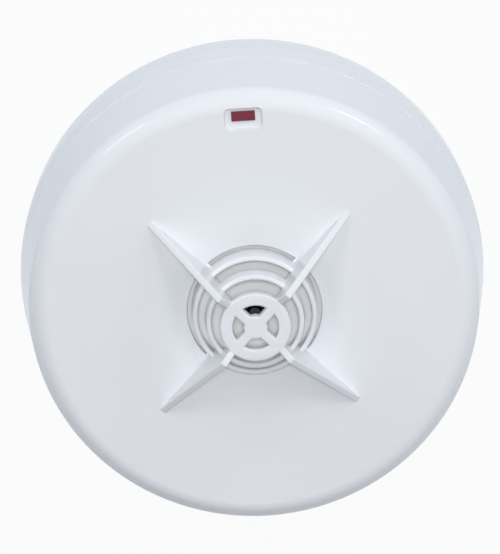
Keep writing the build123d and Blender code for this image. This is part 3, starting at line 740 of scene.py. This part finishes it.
def cover():
    """The front cover with its vent hoops, centre ring, guard fins, webs and screw posts."""
    shell = cut_out(cover_shell(), pocket_cutter(), COVER_WHITE)
    hoops = vent_hoops()
    ring = centre_ring()
    fins = ring_of(guard_fin(), 4, FIN_AZIMUTH, COVER_WHITE)
    web = [(VENT_R + 0.5, VENT_TOP - 0.05), (VENT_R - 1.3, VENT_TOP - 0.05)]
    web += [(VENT_R - 1.3, FACE_Z - 2.3), (VENT_R + 0.5, VENT_UNDER + 0.4)]
    webs = ring_of(plate("web", web, 2.3, 0.2, upright(0)), 4, FIN_AZIMUTH, COVER_WHITE)
    post = [(1.55, BOARD_TOP), (COLUMN_R, BOARD_TOP)]
    post += [(COLUMN_R, FACE_UNDER + 0.3), (1.55, FACE_UNDER + 0.3)]
    post = placed(turned("post", post, COVER_WHITE, 32), at(FIXING_R))
    posts = ring_of(post, 3, FIXING_START, COVER_WHITE)
    return joined("cover_and_cage", [shell, *hoops, ring, fins, webs, posts])


dress(cover(), COVER_WHITE, "head", "cover_white", "front_cover")

# ------------------------------------------------------------------ indicator lens


def lens():
    """The red light pipe: window with a soft top edge, snap flange and stem."""
    guide = FACE_UNDER - 1.0
    edge = [(guide, 0.0), (LENS_TOP - 0.2, 0.0), (LENS_TOP - 0.06, -0.06), (LENS_TOP, -0.2)]
    window = block("lens_window", LENS_L, LENS_W, 0.2, edge, (0, LENS_Y))
    snap = [(guide - 1.0, -0.1), (guide - 0.9, 0), (guide, 0)]
    flange = block("lens_flange", LENS_L + 1.4, LENS_W + 1.4, 0.4, snap, (0, LENS_Y))
    stem = [(0, guide - 1.7), (1.5, guide - 1.7), (1.5, guide - 0.9), (0, guide - 0.9)]
    stem = placed(turned("lens_stem", stem, LENS_RED, 32, False), at(0, LENS_Y))
    return joined("indicator_window", [window, flange, stem])


dress(lens(), LENS_RED, "head", "lens_red", "indicator_lens")

# ------------------------------------------------------------------ mounting base


SEAT_TOP = 6.0
TERMINAL_R = 27.0
TERMINAL_START = 25.0
TERMINAL_TURN = 107.5
SCREW_R = 1.45
SCREW_HEAD_R = 2.9
SCREW_HEAD_H = 2.0
SPRING_T = 0.6
SPRING_TOP = SEAT_TOP + SPRING_T
WASHER_SIDE = 7.2
WASHER_T = 1.0
COLLAR_R = BASE_INNER_R - 6.0
COLLAR_TOP = 10.2
LIP_BOTTOM = COLLAR_TOP - 2.0


def terminal(azimuth):
    """Level place over a terminal screw, turned along the chord to its blade."""
    a = math.radians(azimuth)
    spot = Matrix.Translation((TERMINAL_R * MM * math.cos(a), TERMINAL_R * MM * math.sin(a), 0))
    return spot @ Matrix.Rotation(math.radians(azimuth + TERMINAL_TURN), 4, "Z")


def base():
    """The mounting base: dish with its bayonet collar and cable entry, lips, stops and seats."""
    outline = [
        (ENTRY_R, 0, 0.3), (RIM_R, 0, 0.4), (RIM_R, RIM_H, 12.0),
        (wall_r(BASE_TOP), BASE_TOP, 0.08), (BASE_INNER_R, BASE_TOP, 0.3), (BASE_INNER_R, WEB_T, 0.5),
        (COLLAR_R + 1.8, WEB_T, 0.3), (COLLAR_R + 1.8, COLLAR_TOP, 0.3),
        (COLLAR_R, COLLAR_TOP, 0.3), (COLLAR_R, WEB_T, 0.3),
        (ENTRY_R + 1.5, WEB_T, 0.3), (ENTRY_R + 1.5, ENTRY_H, 0.3), (ENTRY_R, ENTRY_H, 0.3),
    ]
    dish = turned("base_dish", rounded(outline), BASE_WHITE)
    levels = [(-1.0, 0.25), (0.0, 0.25), (0.25, 0), (WEB_T - 0.2, 0), (WEB_T, 0.2), (3.0, 0.2)]
    slots = []
    for n, x in enumerate((-SLOT_X, SLOT_X)):
        slots.append(block(f"slot_{n}", SLOT_L, SLOT_W, SLOT_W / 2 - 0.05, levels, (x, 0)))
    dish = cut_out(dish, joined("slot_cutters", slots), BASE_WHITE)
    reach, root = COLLAR_R - 2.0, COLLAR_R + 0.4
    lip = [(reach, LIP_BOTTOM, 0.3), (root, LIP_BOTTOM, 0)]
    lip += [(root, COLLAR_TOP - 0.05, 0), (reach, COLLAR_TOP, 0.5)]
    lips = ring_of(sector("lip", rounded(lip), -14.0, 28.0), 3, 0.0, BASE_WHITE)
    stop = [(reach, WEB_T - 0.2, 0), (root, WEB_T - 0.2, 0)]
    stop += [(root, LIP_BOTTOM + 0.5, 0), (reach, LIP_BOTTOM + 0.5, 0)]
    stops = ring_of(sector("stop", rounded(stop), -13.83, 2.4, 3), 3, 0.0, BASE_WHITE)
    levels = [(WEB_T - 0.4, 0.4), (WEB_T, 0.35), (WEB_T + 0.1, 0.12), (WEB_T + 0.35, 0)]
    levels += [(SEAT_TOP - 0.25, 0), (SEAT_TOP - 0.08, -0.08), (SEAT_TOP, -0.25)]
    seat = block("seat", 10.0, 9.0, 0.6, levels)
    bore = [(0, 1.0), (SCREW_R + 0.05, 1.0), (SCREW_R + 0.05, SEAT_TOP - 0.25)]
    bore += [(SCREW_R + 0.3, SEAT_TOP), (SCREW_R + 0.3, 7.0), (0, 7.0)]
    seat = cut_out(seat, turned("screw_hole", bore, BASE_WHITE, 32, False), BASE_WHITE)
    seats = ring_of(placed(seat, terminal(0)), 4, TERMINAL_START, BASE_WHITE)
    return joined("mounting_base", [dish, lips, stops, seats])


dress(base(), BASE_WHITE, "base", "base_white", "base_plate")

# ------------------------------------------------------------------ terminals


def cross_cutter(top, depth, length=3.6, width=0.8):
    """A tapering cross recess that opens upwards at a height."""
    half, arm = width / 2, length / 2
    cross = [(arm, -half), (arm, half), (half, half), (half, arm), (-half, arm), (-half, half)]
    cross += [(-arm, half), (-arm, -half), (-half, -half), (-half, -arm), (half, -arm), (half, -half)]
    rings = []
    for z, share in ((top - depth, 0.72), (top - 0.15, 0.97), (top + 0.5, 1.06)):
        rings.append([(x * share, y * share, z) for x, y in cross])
    return loft("cross_cutter", rings)


def screw(name, head_r, head_h, shank_r, length, pitch, material):
    """A pan head screw with a cross recess and a helical thread; its head stands on the origin."""
    head = rounded([(0, 0, 0), (head_r, 0, 0.12), (head_r, head_h, 0.75), (0, head_h, 0)])
    head = turned(name + "_head", head, material, 48, False)
    head = cut_out(head, cross_cutter(head_h, 1.1), material)
    steps = max(int(length / pitch * 8), 2)
    shank = [(0, 0.3), (shank_r, 0.3)]
    shank += [(shank_r, -length * k / steps) for k in range(steps - 6)]
    shank += [(shank_r - 0.35, -length + 0.02), (0, -length)]
    shank = turned(name + "_shank", shank, material, 32, False)
    shank = grow(shank, THREAD, pitch=pitch * MM, depth=0.28 * MM, top=-0.35 * MM, material=material)
    return joined(name, [head, shank])


def terminals():
    """Four sprung strips on the base, and a clamp washer and a screw over each seat."""
    pad_x = 2 * TERMINAL_R * math.sin(math.radians(TERMINAL_TURN - 90))
    rise = SEAT_TOP + 0.6
    path = [(-WASHER_SIDE / 2, SEAT_TOP), (5.0, SEAT_TOP), (pad_x - 3.5, rise)]
    path += [(pad_x + 3.5, rise), (pad_x + 6.3, rise - 1.6)]
    side = terminal(0) @ Matrix.Rotation(math.radians(90), 4, "X")
    strip = plate("spring", strip_outline(path, SPRING_T), 5.0, 0.1, side)
    hole = placed(turned("hole", [(0, 5), (1.65, 5), (1.65, 8), (0, 8)], BRONZE, 32, False), terminal(0))
    springs = ring_of(cut_out(strip, hole, BRONZE), 4, TERMINAL_START, BRONZE)
    springs = joined("terminal_springs", [springs])
    dress(springs, BRONZE, "base", "plated_bronze", *four("terminal_spring"))
    level = at(0, 0, SPRING_TOP + WASHER_T / 2)
    square = rounded_rectangle(WASHER_SIDE, WASHER_SIDE, 0.5)
    washer = plate("washer", square, WASHER_T, 0.22, level, holes=[circle(SCREW_R + 0.1, steps=32)])
    length = SPRING_TOP + WASHER_T - 1.4
    bolt = screw("bolt", SCREW_HEAD_R, SCREW_HEAD_H, SCREW_R, length, 0.5, ZINC)
    lift = at(0, 0, SPRING_TOP + WASHER_T)
    for k in range(4):
        here = terminal(TERMINAL_START + 90 * k)
        turn = Matrix.Rotation(math.radians(20 + 35 * k), 4, "Z")
        clamp = twin(washer, f"clamp_washer_piece_{k + 1}", here)
        dress(clamp, ZINC, f"washer_{k + 1}", "zinc_steel", f"clamp_washer_{k + 1}")
        driven = twin(bolt, f"terminal_screw_piece_{k + 1}", here @ lift @ turn)
        dress(driven, ZINC, f"screw_{k + 1}", "zinc_steel", f"terminal_screw_{k + 1}")
    bpy.data.objects.remove(washer)
    bpy.data.objects.remove(bolt)


terminals()

# ------------------------------------------------------------------ chassis of the head

LUG_TOP = LIP_BOTTOM - 0.3
SKIRT_R = COLLAR_R - 2.4
BLADE_START = 60.0
RIVET_R = TERMINAL_R - 5.5


def chassis():
    """The disc of the head with its bayonet skirt and lugs, columns for the board and sunk holes."""
    lug_bottom = LUG_TOP - 2.2
    seat = CHASSIS_Z + 1.7
    disc = [
        (0, CHASSIS_Z, 0), (SKIRT_R - 2.0, CHASSIS_Z, 0.4), (SKIRT_R - 2.0, lug_bottom, 0.3),
        (SKIRT_R, lug_bottom, 0.3), (SKIRT_R, CHASSIS_Z, 0.4), (CHASSIS_R, CHASSIS_Z, 0.3),
        (CHASSIS_R, CHASSIS_TOP, 0.3), (0, CHASSIS_TOP, 0),
    ]
    disc = turned("chassis_disc", rounded(disc), INNER_WHITE_AND_PAINTED_FILL, 192, False)
    sunk = [(0, 11.0), (2.9, 11.0), (2.9, seat), (1.6, seat), (1.6, 15.0), (0, 15.0)]
    sunk = turned("sunk_hole", sunk, INNER_WHITE_AND_PAINTED_FILL, 32, False)
    sunk = ring_of(placed(sunk, at(FIXING_R)), 3, FIXING_START, INNER_WHITE_AND_PAINTED_FILL)
    disc = cut_out(disc, sunk, INNER_WHITE_AND_PAINTED_FILL)
    lug = [(SKIRT_R - 0.4, lug_bottom, 0), (COLLAR_R - 0.4, lug_bottom, 0.4)]
    lug += [(COLLAR_R - 0.4, LUG_TOP, 0.3), (SKIRT_R - 0.4, LUG_TOP, 0)]
    lugs = ring_of(sector("lug", rounded(lug), -11.0, 22.0, 8), 3, 0.0, INNER_WHITE_AND_PAINTED_FILL)
    column = [(1.6, CHASSIS_TOP - 0.1, 0), (4.2, CHASSIS_TOP - 0.1, 0)]
    column += [(COLUMN_R, CHASSIS_TOP + 0.5, 0.3), (COLUMN_R, BOARD_Z, 0.25), (1.6, BOARD_Z, 0.1)]
    column = turned("column", rounded(column), INNER_WHITE_AND_PAINTED_FILL, 48)
    columns = ring_of(placed(column, at(FIXING_R)), 3, FIXING_START, INNER_WHITE_AND_PAINTED_FILL)
    head_piece("bayonet_chassis", [disc, lugs, columns], INNER_WHITE_AND_PAINTED_FILL, "chassis_white", "chassis_plate")
    length = FACE_UNDER - 1.6 - CHASSIS_Z - 1.7
    fixing = screw("fixing", 2.8, 1.6, 1.5, length, 1.0, ZINC)
    under = at(FIXING_R, 0, seat) @ Matrix.Rotation(math.pi, 4, "X")
    fixings = ring_of(placed(fixing, under), 3, FIXING_START, ZINC)
    head_piece("fixing_screws", [fixings], ZINC, "zinc_steel", "chassis_screws")


def rivet_hole(bottom, top):
    """A cutter for the rivet's hole, between two heights."""
    hole = turned("hole", [(0, bottom), (1.25, bottom), (1.25, top), (0, top)], BRONZE, 32, False)
    return placed(hole, at(RIVET_R))


def contacts():
    """Blades under the chassis, rivets through it, and links up through the board."""
    foot, top = CHASSIS_Z - 0.6, CHASSIS_TOP + 0.5
    path = [(18.5, foot), (24.6, foot), (24.6, 7.4), (31.0, 7.4)]
    blade = plate("blade", strip_outline(path, 0.6), 5.0, 0.1, upright(0))
    blade = cut_out(blade, rivet_hole(11, 12.5), BRONZE)
    blades = ring_of(blade, 4, BLADE_START, BRONZE)
    head_piece("contact_blades", [blades], BRONZE, "plated_bronze", *four("contact_blade"))
    outline = [(0, foot - 0.8, 0), (2.1, foot - 0.8, 0.5), (2.1, foot, 0.05), (1.2, foot, 0)]
    outline += [(1.2, top, 0), (2.1, top, 0.05), (2.1, top + 0.8, 0.5), (0, top + 0.8, 0)]
    rivet = placed(turned("rivet", rounded(outline), BRASS, 32, False), at(RIVET_R))
    rivets = ring_of(rivet, 4, BLADE_START, BRASS)
    head_piece("blade_rivets", [rivets], BRASS, "rivet_brass", *four("blade_rivet"))
    bend = RIVET_R + 3.0
    path = [(TERMINAL_R - 7.8, CHASSIS_TOP), (bend, CHASSIS_TOP), (bend, BOARD_TOP + 0.8)]
    link = plate("link", strip_outline(path, 0.5, 0.3), 3.0, 0.08, upright(0))
    link = cut_out(link, rivet_hole(13.5, 15), BRONZE)
    links = ring_of(link, 4, BLADE_START, BRONZE)
    head_piece("board_links", [links], BRONZE, "plated_bronze", *four("board_link"))


chassis()
contacts()

# ------------------------------------------------------------------ vent cup and sensor

WELL_R = VENT_R + 1.5
WELL_FLOOR = FACE_Z - 4.6
SLEEVE_R = 3.0
SLEEVE_TOP = FACE_Z - 1.2
BEAD_R = 1.15
BEAD_FLAT = low("sensing_thermistor").z


def sensor():
    """The cup behind the vent, the sleeve that stands in it, and the sensing bead on its two leads."""
    seat = SLEEVE_R + 0.1
    floor_under = WELL_FLOOR - 1.2
    cup = [
        (seat, floor_under, 0.1), (WELL_R, floor_under, 0.3), (WELL_R, BOARD_TOP, 0.2),
        (WELL_R + 1.6, BOARD_TOP, 0.2), (WELL_R + 1.6, VENT_UNDER, 0.2), (WELL_R, VENT_UNDER, 0.2),
        (WELL_R, WELL_FLOOR, 0.8), (seat, WELL_FLOOR, 0.15),
    ]
    cup = turned("cup", rounded(cup), INNER_WHITE_AND_PAINTED_FILL, 128)
    head_piece("vent_cup", [cup], INNER_WHITE_AND_PAINTED_FILL, "well_white", "vent_well")
    tube = [(1.5, BOARD_TOP, 0.1), (SLEEVE_R, BOARD_TOP, 0.1)]
    tube += [(SLEEVE_R, SLEEVE_TOP, 0.6), (1.5, SLEEVE_TOP, 0.25)]
    tube = turned("tube", rounded(tube), SLEEVE_BLACK, 64)
    head_piece("sensor_tube", [tube], SLEEVE_BLACK, "sleeve_black", "sensor_sleeve")
    centre = BEAD_FLAT + 0.8
    start = math.asin(-0.8 / BEAD_R)
    drop = [(0, BEAD_FLAT)]
    for k in range(17):
        a = start + (math.pi / 2 - start) * k / 16
        drop.append((BEAD_R * math.cos(a), centre + BEAD_R * math.sin(a)))
    bead = turned("bead", drop, BEAD_BLACK, 48, False)
    head_piece("sensing_bead", [bead], BEAD_BLACK, "bead_black", "sensing_thermistor")
    foot, top = BOARD_Z - 0.8, BEAD_FLAT + 0.1
    lead = [(0, foot, 0), (LEAD_R, foot, 0.08), (LEAD_R, top, 0), (0, top, 0)]
    lead = turned("lead", rounded(lead), TINNED, 16, False)
    leads = rows_of(lead, 2, 1, BEAD_PITCH, 1.0, TINNED)
    head_piece("bead_leads", [leads], TINNED, "tinned_wire", "thermistor_leads")


sensor()

# ------------------------------------------------------------------ board and the parts on it


def board():
    """The round board with its holes, and a tinned ring round each hole of the lamp's leads."""
    fixings = [math.radians(FIXING_START + 120 * k) for k in range(3)]
    holes = [circle(1.6, (FIXING_R * math.cos(a), FIXING_R * math.sin(a)), 32) for a in fixings]
    slot = rounded_rectangle(0.9, 3.4, 0.2, (RIVET_R + 2.75, 0))
    for k in range(4):
        a = math.radians(BLADE_START + 90 * k)
        c, s = math.cos(a), math.sin(a)
        holes.append([(x * c - y * s, x * s + y * c) for x, y in slot])
    lamp_spots = [(-LED_PITCH / 2, LENS_Y), (LED_PITCH / 2, LENS_Y)]
    for spot in [(-BEAD_PITCH / 2, 0), (BEAD_PITCH / 2, 0), *lamp_spots]:
        holes.append(circle(0.4, spot, 16))
    level = at(0, 0, (BOARD_Z + BOARD_TOP) / 2)
    disc = plate("disc", circle(BOARD_R, steps=128), BOARD_TOP - BOARD_Z, 0.1, level, holes=holes)
    head_piece("board", [disc], BOARD_GREEN, "board_green", "circuit_board")
    pads = []
    pad = [(0.36, -0.04), (0.95, -0.04), (0.9, 0.02), (0.36, 0.02)]
    for n, spot in enumerate(lamp_spots):
        pads.append(placed(turned(f"pad_{n}", pad, TINNED, 24), at(*spot, BOARD_Z)))
    head_piece("board_pads", pads, TINNED, "tinned_wire")


def moulded(name, place, size, corner=0.2):
    """A moulded body under the board, with a mould line round the middle and soft lower edges."""
    length, width, height = size
    under = BOARD_Z - height
    levels = [(under, -corner), (under + corner, -0.08)]
    levels += [(BOARD_Z - height / 2, 0), (BOARD_Z - 0.15, -0.08)]
    return block(name, length - 0.02, width - 0.02, 0.15, levels, place)


def legs(name, place, count, pitch, span, width, body_width):
    """Gull-wing legs in two rows: out of the body, down and along the board."""
    shoulder = body_width / 2 + 0.35
    rise = BOARD_Z - 0.8
    path = [(span / 2, BOARD_Z), (shoulder, BOARD_Z)]
    path += [(shoulder - 0.3, rise), (body_width / 2 - 0.4, rise)]
    leg = plate(name, strip_outline(path, 0.2, 0.12), width, 0.04, upright(90))
    both = joined(name, [twin(leg, "far_leg", Matrix.Rotation(math.pi, 4, "Z")), leg])
    return placed(rows_of(both, count, 1, pitch, 1.0, TINNED), at(*place))


def bare_lead(name, place, start, end):
    """A straight round wire at a place, between two heights."""
    lead = turned(name, [(0, start), (LEAD_R, start), (LEAD_R, end), (0, end)], TINNED, 16, False)
    return placed(lead, at(*place))


def chip_parts(name, place, size, layout, material, slot):
    """Rows of small chip parts with bright end caps; layout is that of rows_of."""
    length, width, height = size
    cap = 0.35
    levels = [(-height + 0.03, -0.03), (-height + 0.08, 0), (0, 0)]
    body = block(name, length - 0.04, width - cap, 0.05, levels)
    levels = [(-height, -0.04), (-height + 0.05, 0), (0, 0)]
    ends = []
    for sign in (-1, 1):
        ends.append(block("end", length, cap, 0.08, levels, (0, sign * (width - cap) / 2)))
    spot = at(*place, BOARD_Z)
    bodies = placed(rows_of(body, *layout, material), spot)
    caps = placed(rows_of(joined("ends", ends), *layout, TINNED), spot)
    head_piece(name + "_bodies", [bodies], material, slot, name)
    head_piece(name + "_caps", [caps], TINNED, "tinned_wire")


def integrated_parts():
    """The controller, the rectifier and the transistor, and the legs of all three."""
    chip = ((0, 12.0), (9.9, 3.9, 1.75))
    bridge = ((0, -13.0), (6.4, 4.7, 2.5))
    switch = ((12.5, 3.0), (4.5, 2.5, 1.5))
    dot = turned("dot", [(0, -2.0), (0.45, -2.0), (0.4, 0.12), (0, 0.12)], CHIP_BLACK, 24, False)
    dot = placed(dot, at(-3.9, 11.1, BOARD_Z - 1.75))
    controller = cut_out(moulded("chip_body", *chip), dot, CHIP_BLACK)
    for name, node, body in (
        ("controller_body", "controller_chip", controller),
        ("rectifier_body", "bridge_rectifier", moulded("b", *bridge, 0.35)),
        ("transistor_body", "alarm_transistor", moulded("t", *switch)),
    ):
        head_piece(name, [body], CHIP_BLACK, "chip_black", node)
    rows = [
        legs("chip_legs", chip[0], 8, 1.27, 6.0, 0.4, 3.9),
        legs("bridge_legs", bridge[0], 2, 5.08, 8.0, 0.8, 4.7),
        legs("switch_legs", switch[0], 3, 1.5, 4.1, 0.4, 2.5),
    ]
    head_piece("component_legs", rows, TINNED, "tinned_wire")


def electrolytic():
    """The electrolytic capacitor's sleeved can and its bare end."""
    bottom = BOARD_Z - 7.2
    spot = at(-12.0, -2.0)
    can = [(0, bottom + 0.1, 0), (2.4, bottom + 0.1, 0), (2.5, bottom, 0.08), (3.15, bottom, 0.4)]
    can += [(3.15, BOARD_Z - 1.6, 0.1), (2.95, BOARD_Z - 1.3, 0.2), (3.15, BOARD_Z - 1.0, 0.1)]
    can += [(3.15, BOARD_Z - 0.1, 0.2), (0, BOARD_Z - 0.1, 0)]
    can = placed(turned("can", rounded(can, 3), SLEEVE_BLUE, 48, False), spot)
    head_piece("electrolytic_can", [can], SLEEVE_BLUE, "capacitor_sleeve", "electrolytic_capacitor")
    end = [(0, bottom + 0.05), (2.3, bottom + 0.05), (2.42, bottom + 0.14), (0, bottom + 0.14)]
    end = placed(turned("end", end, TINNED, 48, False), spot)
    head_piece("electrolytic_end", [end], TINNED, "tinned_wire")


def lamp_and_reference():
    """The lamp under the lens and the reference bead, each on two leads."""
    top = high("indicator_led").z
    step = BOARD_TOP + 1.0
    outline = [(0, BOARD_TOP, 0), (1.9, BOARD_TOP, 0.1), (1.9, step, 0.15)]
    outline += [(1.5, step, 0.05), (1.5, top, 1.4), (0, top, 0)]
    diode = placed(turned("diode", rounded(outline), LED_RED, 48, False), at(0, LENS_Y))
    head_piece("led_body", [diode], LED_RED, "led_red", "indicator_led")
    spot = (36.0, -12.0)
    centre = BOARD_Z - 5.0
    leads = []
    for name, (x, y), pitch, start, end in (
        ("tail", (0, LENS_Y), LED_PITCH, BOARD_Z - 0.8, BOARD_TOP + 0.3),
        ("drop", spot, BEAD_PITCH, centre, BOARD_Z),
    ):
        for n, side in enumerate((-pitch / 2, pitch / 2)):
            leads.append(bare_lead(f"{name}_{n}", (x + side, y), start, end))
    head_piece("loose_leads", leads, TINNED, "tinned_wire")
    drop = []
    for k in range(25):
        a = math.pi * k / 24
        drop.append((BEAD_R * math.sin(a), centre - BEAD_R * math.cos(a)))
    drop[0], drop[-1] = (0, drop[0][1]), (0, drop[-1][1])
    bead = placed(turned("second_bead", drop, BEAD_BLACK, 32, False), at(*spot))
    head_piece("reference_bead", [bead], BEAD_BLACK, "bead_black", "reference_thermistor")


def components():
    """The parts under the board, hanging towards the chassis."""
    integrated_parts()
    electrolytic()
    case = [(BOARD_Z - 6.5, -0.4), (BOARD_Z - 6.4, -0.15), (BOARD_Z - 6.1, 0), (BOARD_Z - 0.1, 0)]
    film = block("film", 7.18, 3.48, 0.4, case, (14.0, -6.0))
    head_piece("film_body", [film], FILM_RED, "capacitor_film", "film_capacitor")
    layout = (4, 2, 3.2, 5.12)
    chip_parts("resistors", (8.0, -27.0), (1.6, 3.2, 0.6), layout, RESISTOR_BLACK, "resistor_black")
    layout = (6, 1, 2.5, 1.0)
    chip_parts("ceramic_capacitors", (-2.0, 29.0), (1.25, 2.0, 1.1), layout, CERAMIC_TAN, "ceramic_tan")
    lamp_and_reference()


board()
components()

# ------------------------------------------------------------------ floor, world, lamps and camera


def mixed(tree, share, first, second):
    """A mix of two shaders, by a number or a link."""
    made = tree.nodes.new("ShaderNodeMixShader")
    if isinstance(share, float):
        made.inputs["Fac"].default_value = share
    else:
        tree.links.new(share, made.inputs["Fac"])
    tree.links.new(first.outputs[0], made.inputs[1])
    tree.links.new(second.outputs[0], made.inputs[2])
    return made


def floor_white():
    """Matte, with a white glow for camera, glossy and transmission rays, and clear from below."""
    material = bpy.data.materials.new("floor_white")
    material.use_nodes = True
    tree = material.node_tree
    nodes, links = tree.nodes, tree.links
    nodes.clear()
    out = nodes.new("ShaderNodeOutputMaterial")
    matte = shader_node(nodes, "ShaderNodeBsdfDiffuse", Color=(0.5, 0.53, 0.58, 1))
    glow = nodes.new("ShaderNodeEmission")
    path = nodes.new("ShaderNodeLightPath")
    tint = blend(nodes, (0.9, 0.95, 1.0, 1), (1, 1, 1, 1))
    seen = path.outputs["Is Camera Ray"]
    links.new(seen, tint.inputs["Factor"])
    links.new(tint.outputs["Result"], glow.inputs["Color"])
    for ray in ("Is Glossy Ray", "Is Transmission Ray"):
        either = nodes.new("ShaderNodeMath")
        either.operation = "MAXIMUM"
        links.new(seen, either.inputs[0])
        links.new(path.outputs[ray], either.inputs[1])
        seen = either.outputs[0]
    lit = mixed(tree, seen, matte, mixed(tree, 0.94, matte, glow))
    side = nodes.new("ShaderNodeNewGeometry")
    below = mixed(tree, side.outputs["Backfacing"], lit, nodes.new("ShaderNodeBsdfTransparent"))
    links.new(below.outputs[0], out.inputs["Surface"])
    return material


def floor():
    """A plain pale floor round the base: white to the camera, cool white in reflections."""
    shape = bmesh.new()
    count = 96
    rings = []
    for reach in ((RIM_R - 1.0) * MM, 0.2, 3.0):
        ring = []
        for k in range(count):
            a = 2 * math.pi * k / count
            ring.append(shape.verts.new((reach * math.cos(a), reach * math.sin(a), -0.05 * MM)))
        rings.append(ring)
    for inner, outer in zip(rings, rings[1:]):
        for k in range(count):
            after = (k + 1) % count
            shape.faces.new((inner[k], outer[k], outer[after], inner[after]))
    mesh = bpy.data.meshes.new("floor")
    shape.to_mesh(mesh)
    shape.free()
    piece = new_object("floor", mesh)
    piece.data.materials.append(floor_white())


def world(strength):
    """An even pale world, plain white where the camera sees it."""
    sky = bpy.data.worlds.new("studio")
    bpy.context.scene.world = sky
    sky.use_nodes = True
    tree = sky.node_tree
    light = tree.nodes["Background"]
    light.inputs["Color"].default_value = (0.86, 0.92, 1.0, 1)
    light.inputs["Strength"].default_value = strength
    backdrop = shader_node(tree.nodes, "ShaderNodeBackground", Color=(1, 1, 1, 1), Strength=1.0)
    path = tree.nodes.new("ShaderNodeLightPath")
    choose = mixed(tree, path.outputs["Is Camera Ray"], light, backdrop)
    tree.links.new(choose.outputs[0], tree.nodes["World Output"].inputs["Surface"])


def lamp(name, place, aim, size, power, gloss=True):
    """A soft lamp at a place, pointing at its aim; metres and watts. Without gloss it only fills."""
    data = bpy.data.lights.new(name, "AREA")
    data.shape = "RECTANGLE"
    data.size, data.size_y = size
    data.energy = power
    data.color = (0.95, 0.965, 1.0)
    piece = bpy.data.objects.new(name, data)
    bpy.context.scene.collection.objects.link(piece)
    piece.location = place
    piece.rotation_euler = (Vector(aim) - Vector(place)).to_track_quat("-Z", "Y").to_euler()
    piece.visible_glossy = gloss


def camera(distance, tilt, roll, focal, aim):
    """Looks down at the face, tilted towards the lens and rolled; aim is millimetres right and up."""
    scene = bpy.context.scene
    data = bpy.data.cameras.new("camera")
    data.sensor_fit = "VERTICAL"
    data.sensor_height = 24.0
    data.lens = focal
    data.clip_start = 0.01
    piece = bpy.data.objects.new("camera", data)
    scene.collection.objects.link(piece)
    t, r = math.radians(tilt), math.radians(roll)
    across = Vector((1, 0, 0))
    along = Vector((0, math.cos(t), -math.sin(t)))
    right = across * math.cos(r) - along * math.sin(r)
    up = across * math.sin(r) + along * math.cos(r)
    place = Vector((0, math.sin(t), math.cos(t))) * distance
    target = (right * aim[0] + up * aim[1]) * MM
    back = (place - target).normalized()
    side = up.cross(back).normalized()
    top = back.cross(side)
    piece.matrix_world = Matrix.Translation(place) @ Matrix((side, top, back)).transposed().to_4x4()
    scene.camera = piece


floor()
world(0.24)
lamp("key_left", (-0.5, 0.85, 0.8), (0, 0, 0.02), (0.4, 0.3), 2.0, False)
lamp("key_right", (0.5, 0.8, 0.8), (0, 0, 0.02), (0.4, 0.3), 2.2, False)
lamp("top_soft", (0.0, 0.376, 1.18), (0, 0, 0), (0.12, 0.12), 6.3, False)
lamp("streak_left", (-0.66, 0.74, 0.3), (0, 0, 0.03), (0.3, 0.14), 0.75)
lamp("streak_right", (0.62, 0.76, 0.3), (0, 0, 0.03), (0.3, 0.14), 0.8)
lamp("side_fill", (1.0, -0.1, 0.45), (0, 0, 0.02), (0.6, 0.6), 1.2, False)
lamp("under_fill", (0, -0.4, -1.0), (0, 0, 0), (0.8, 0.8), 5.0, False)
camera(distance=0.5, tilt=16.8, roll=3.4, focal=98.56, aim=(-0.4, -3.07))

scene = bpy.context.scene
scene.view_settings.view_transform = "Standard"
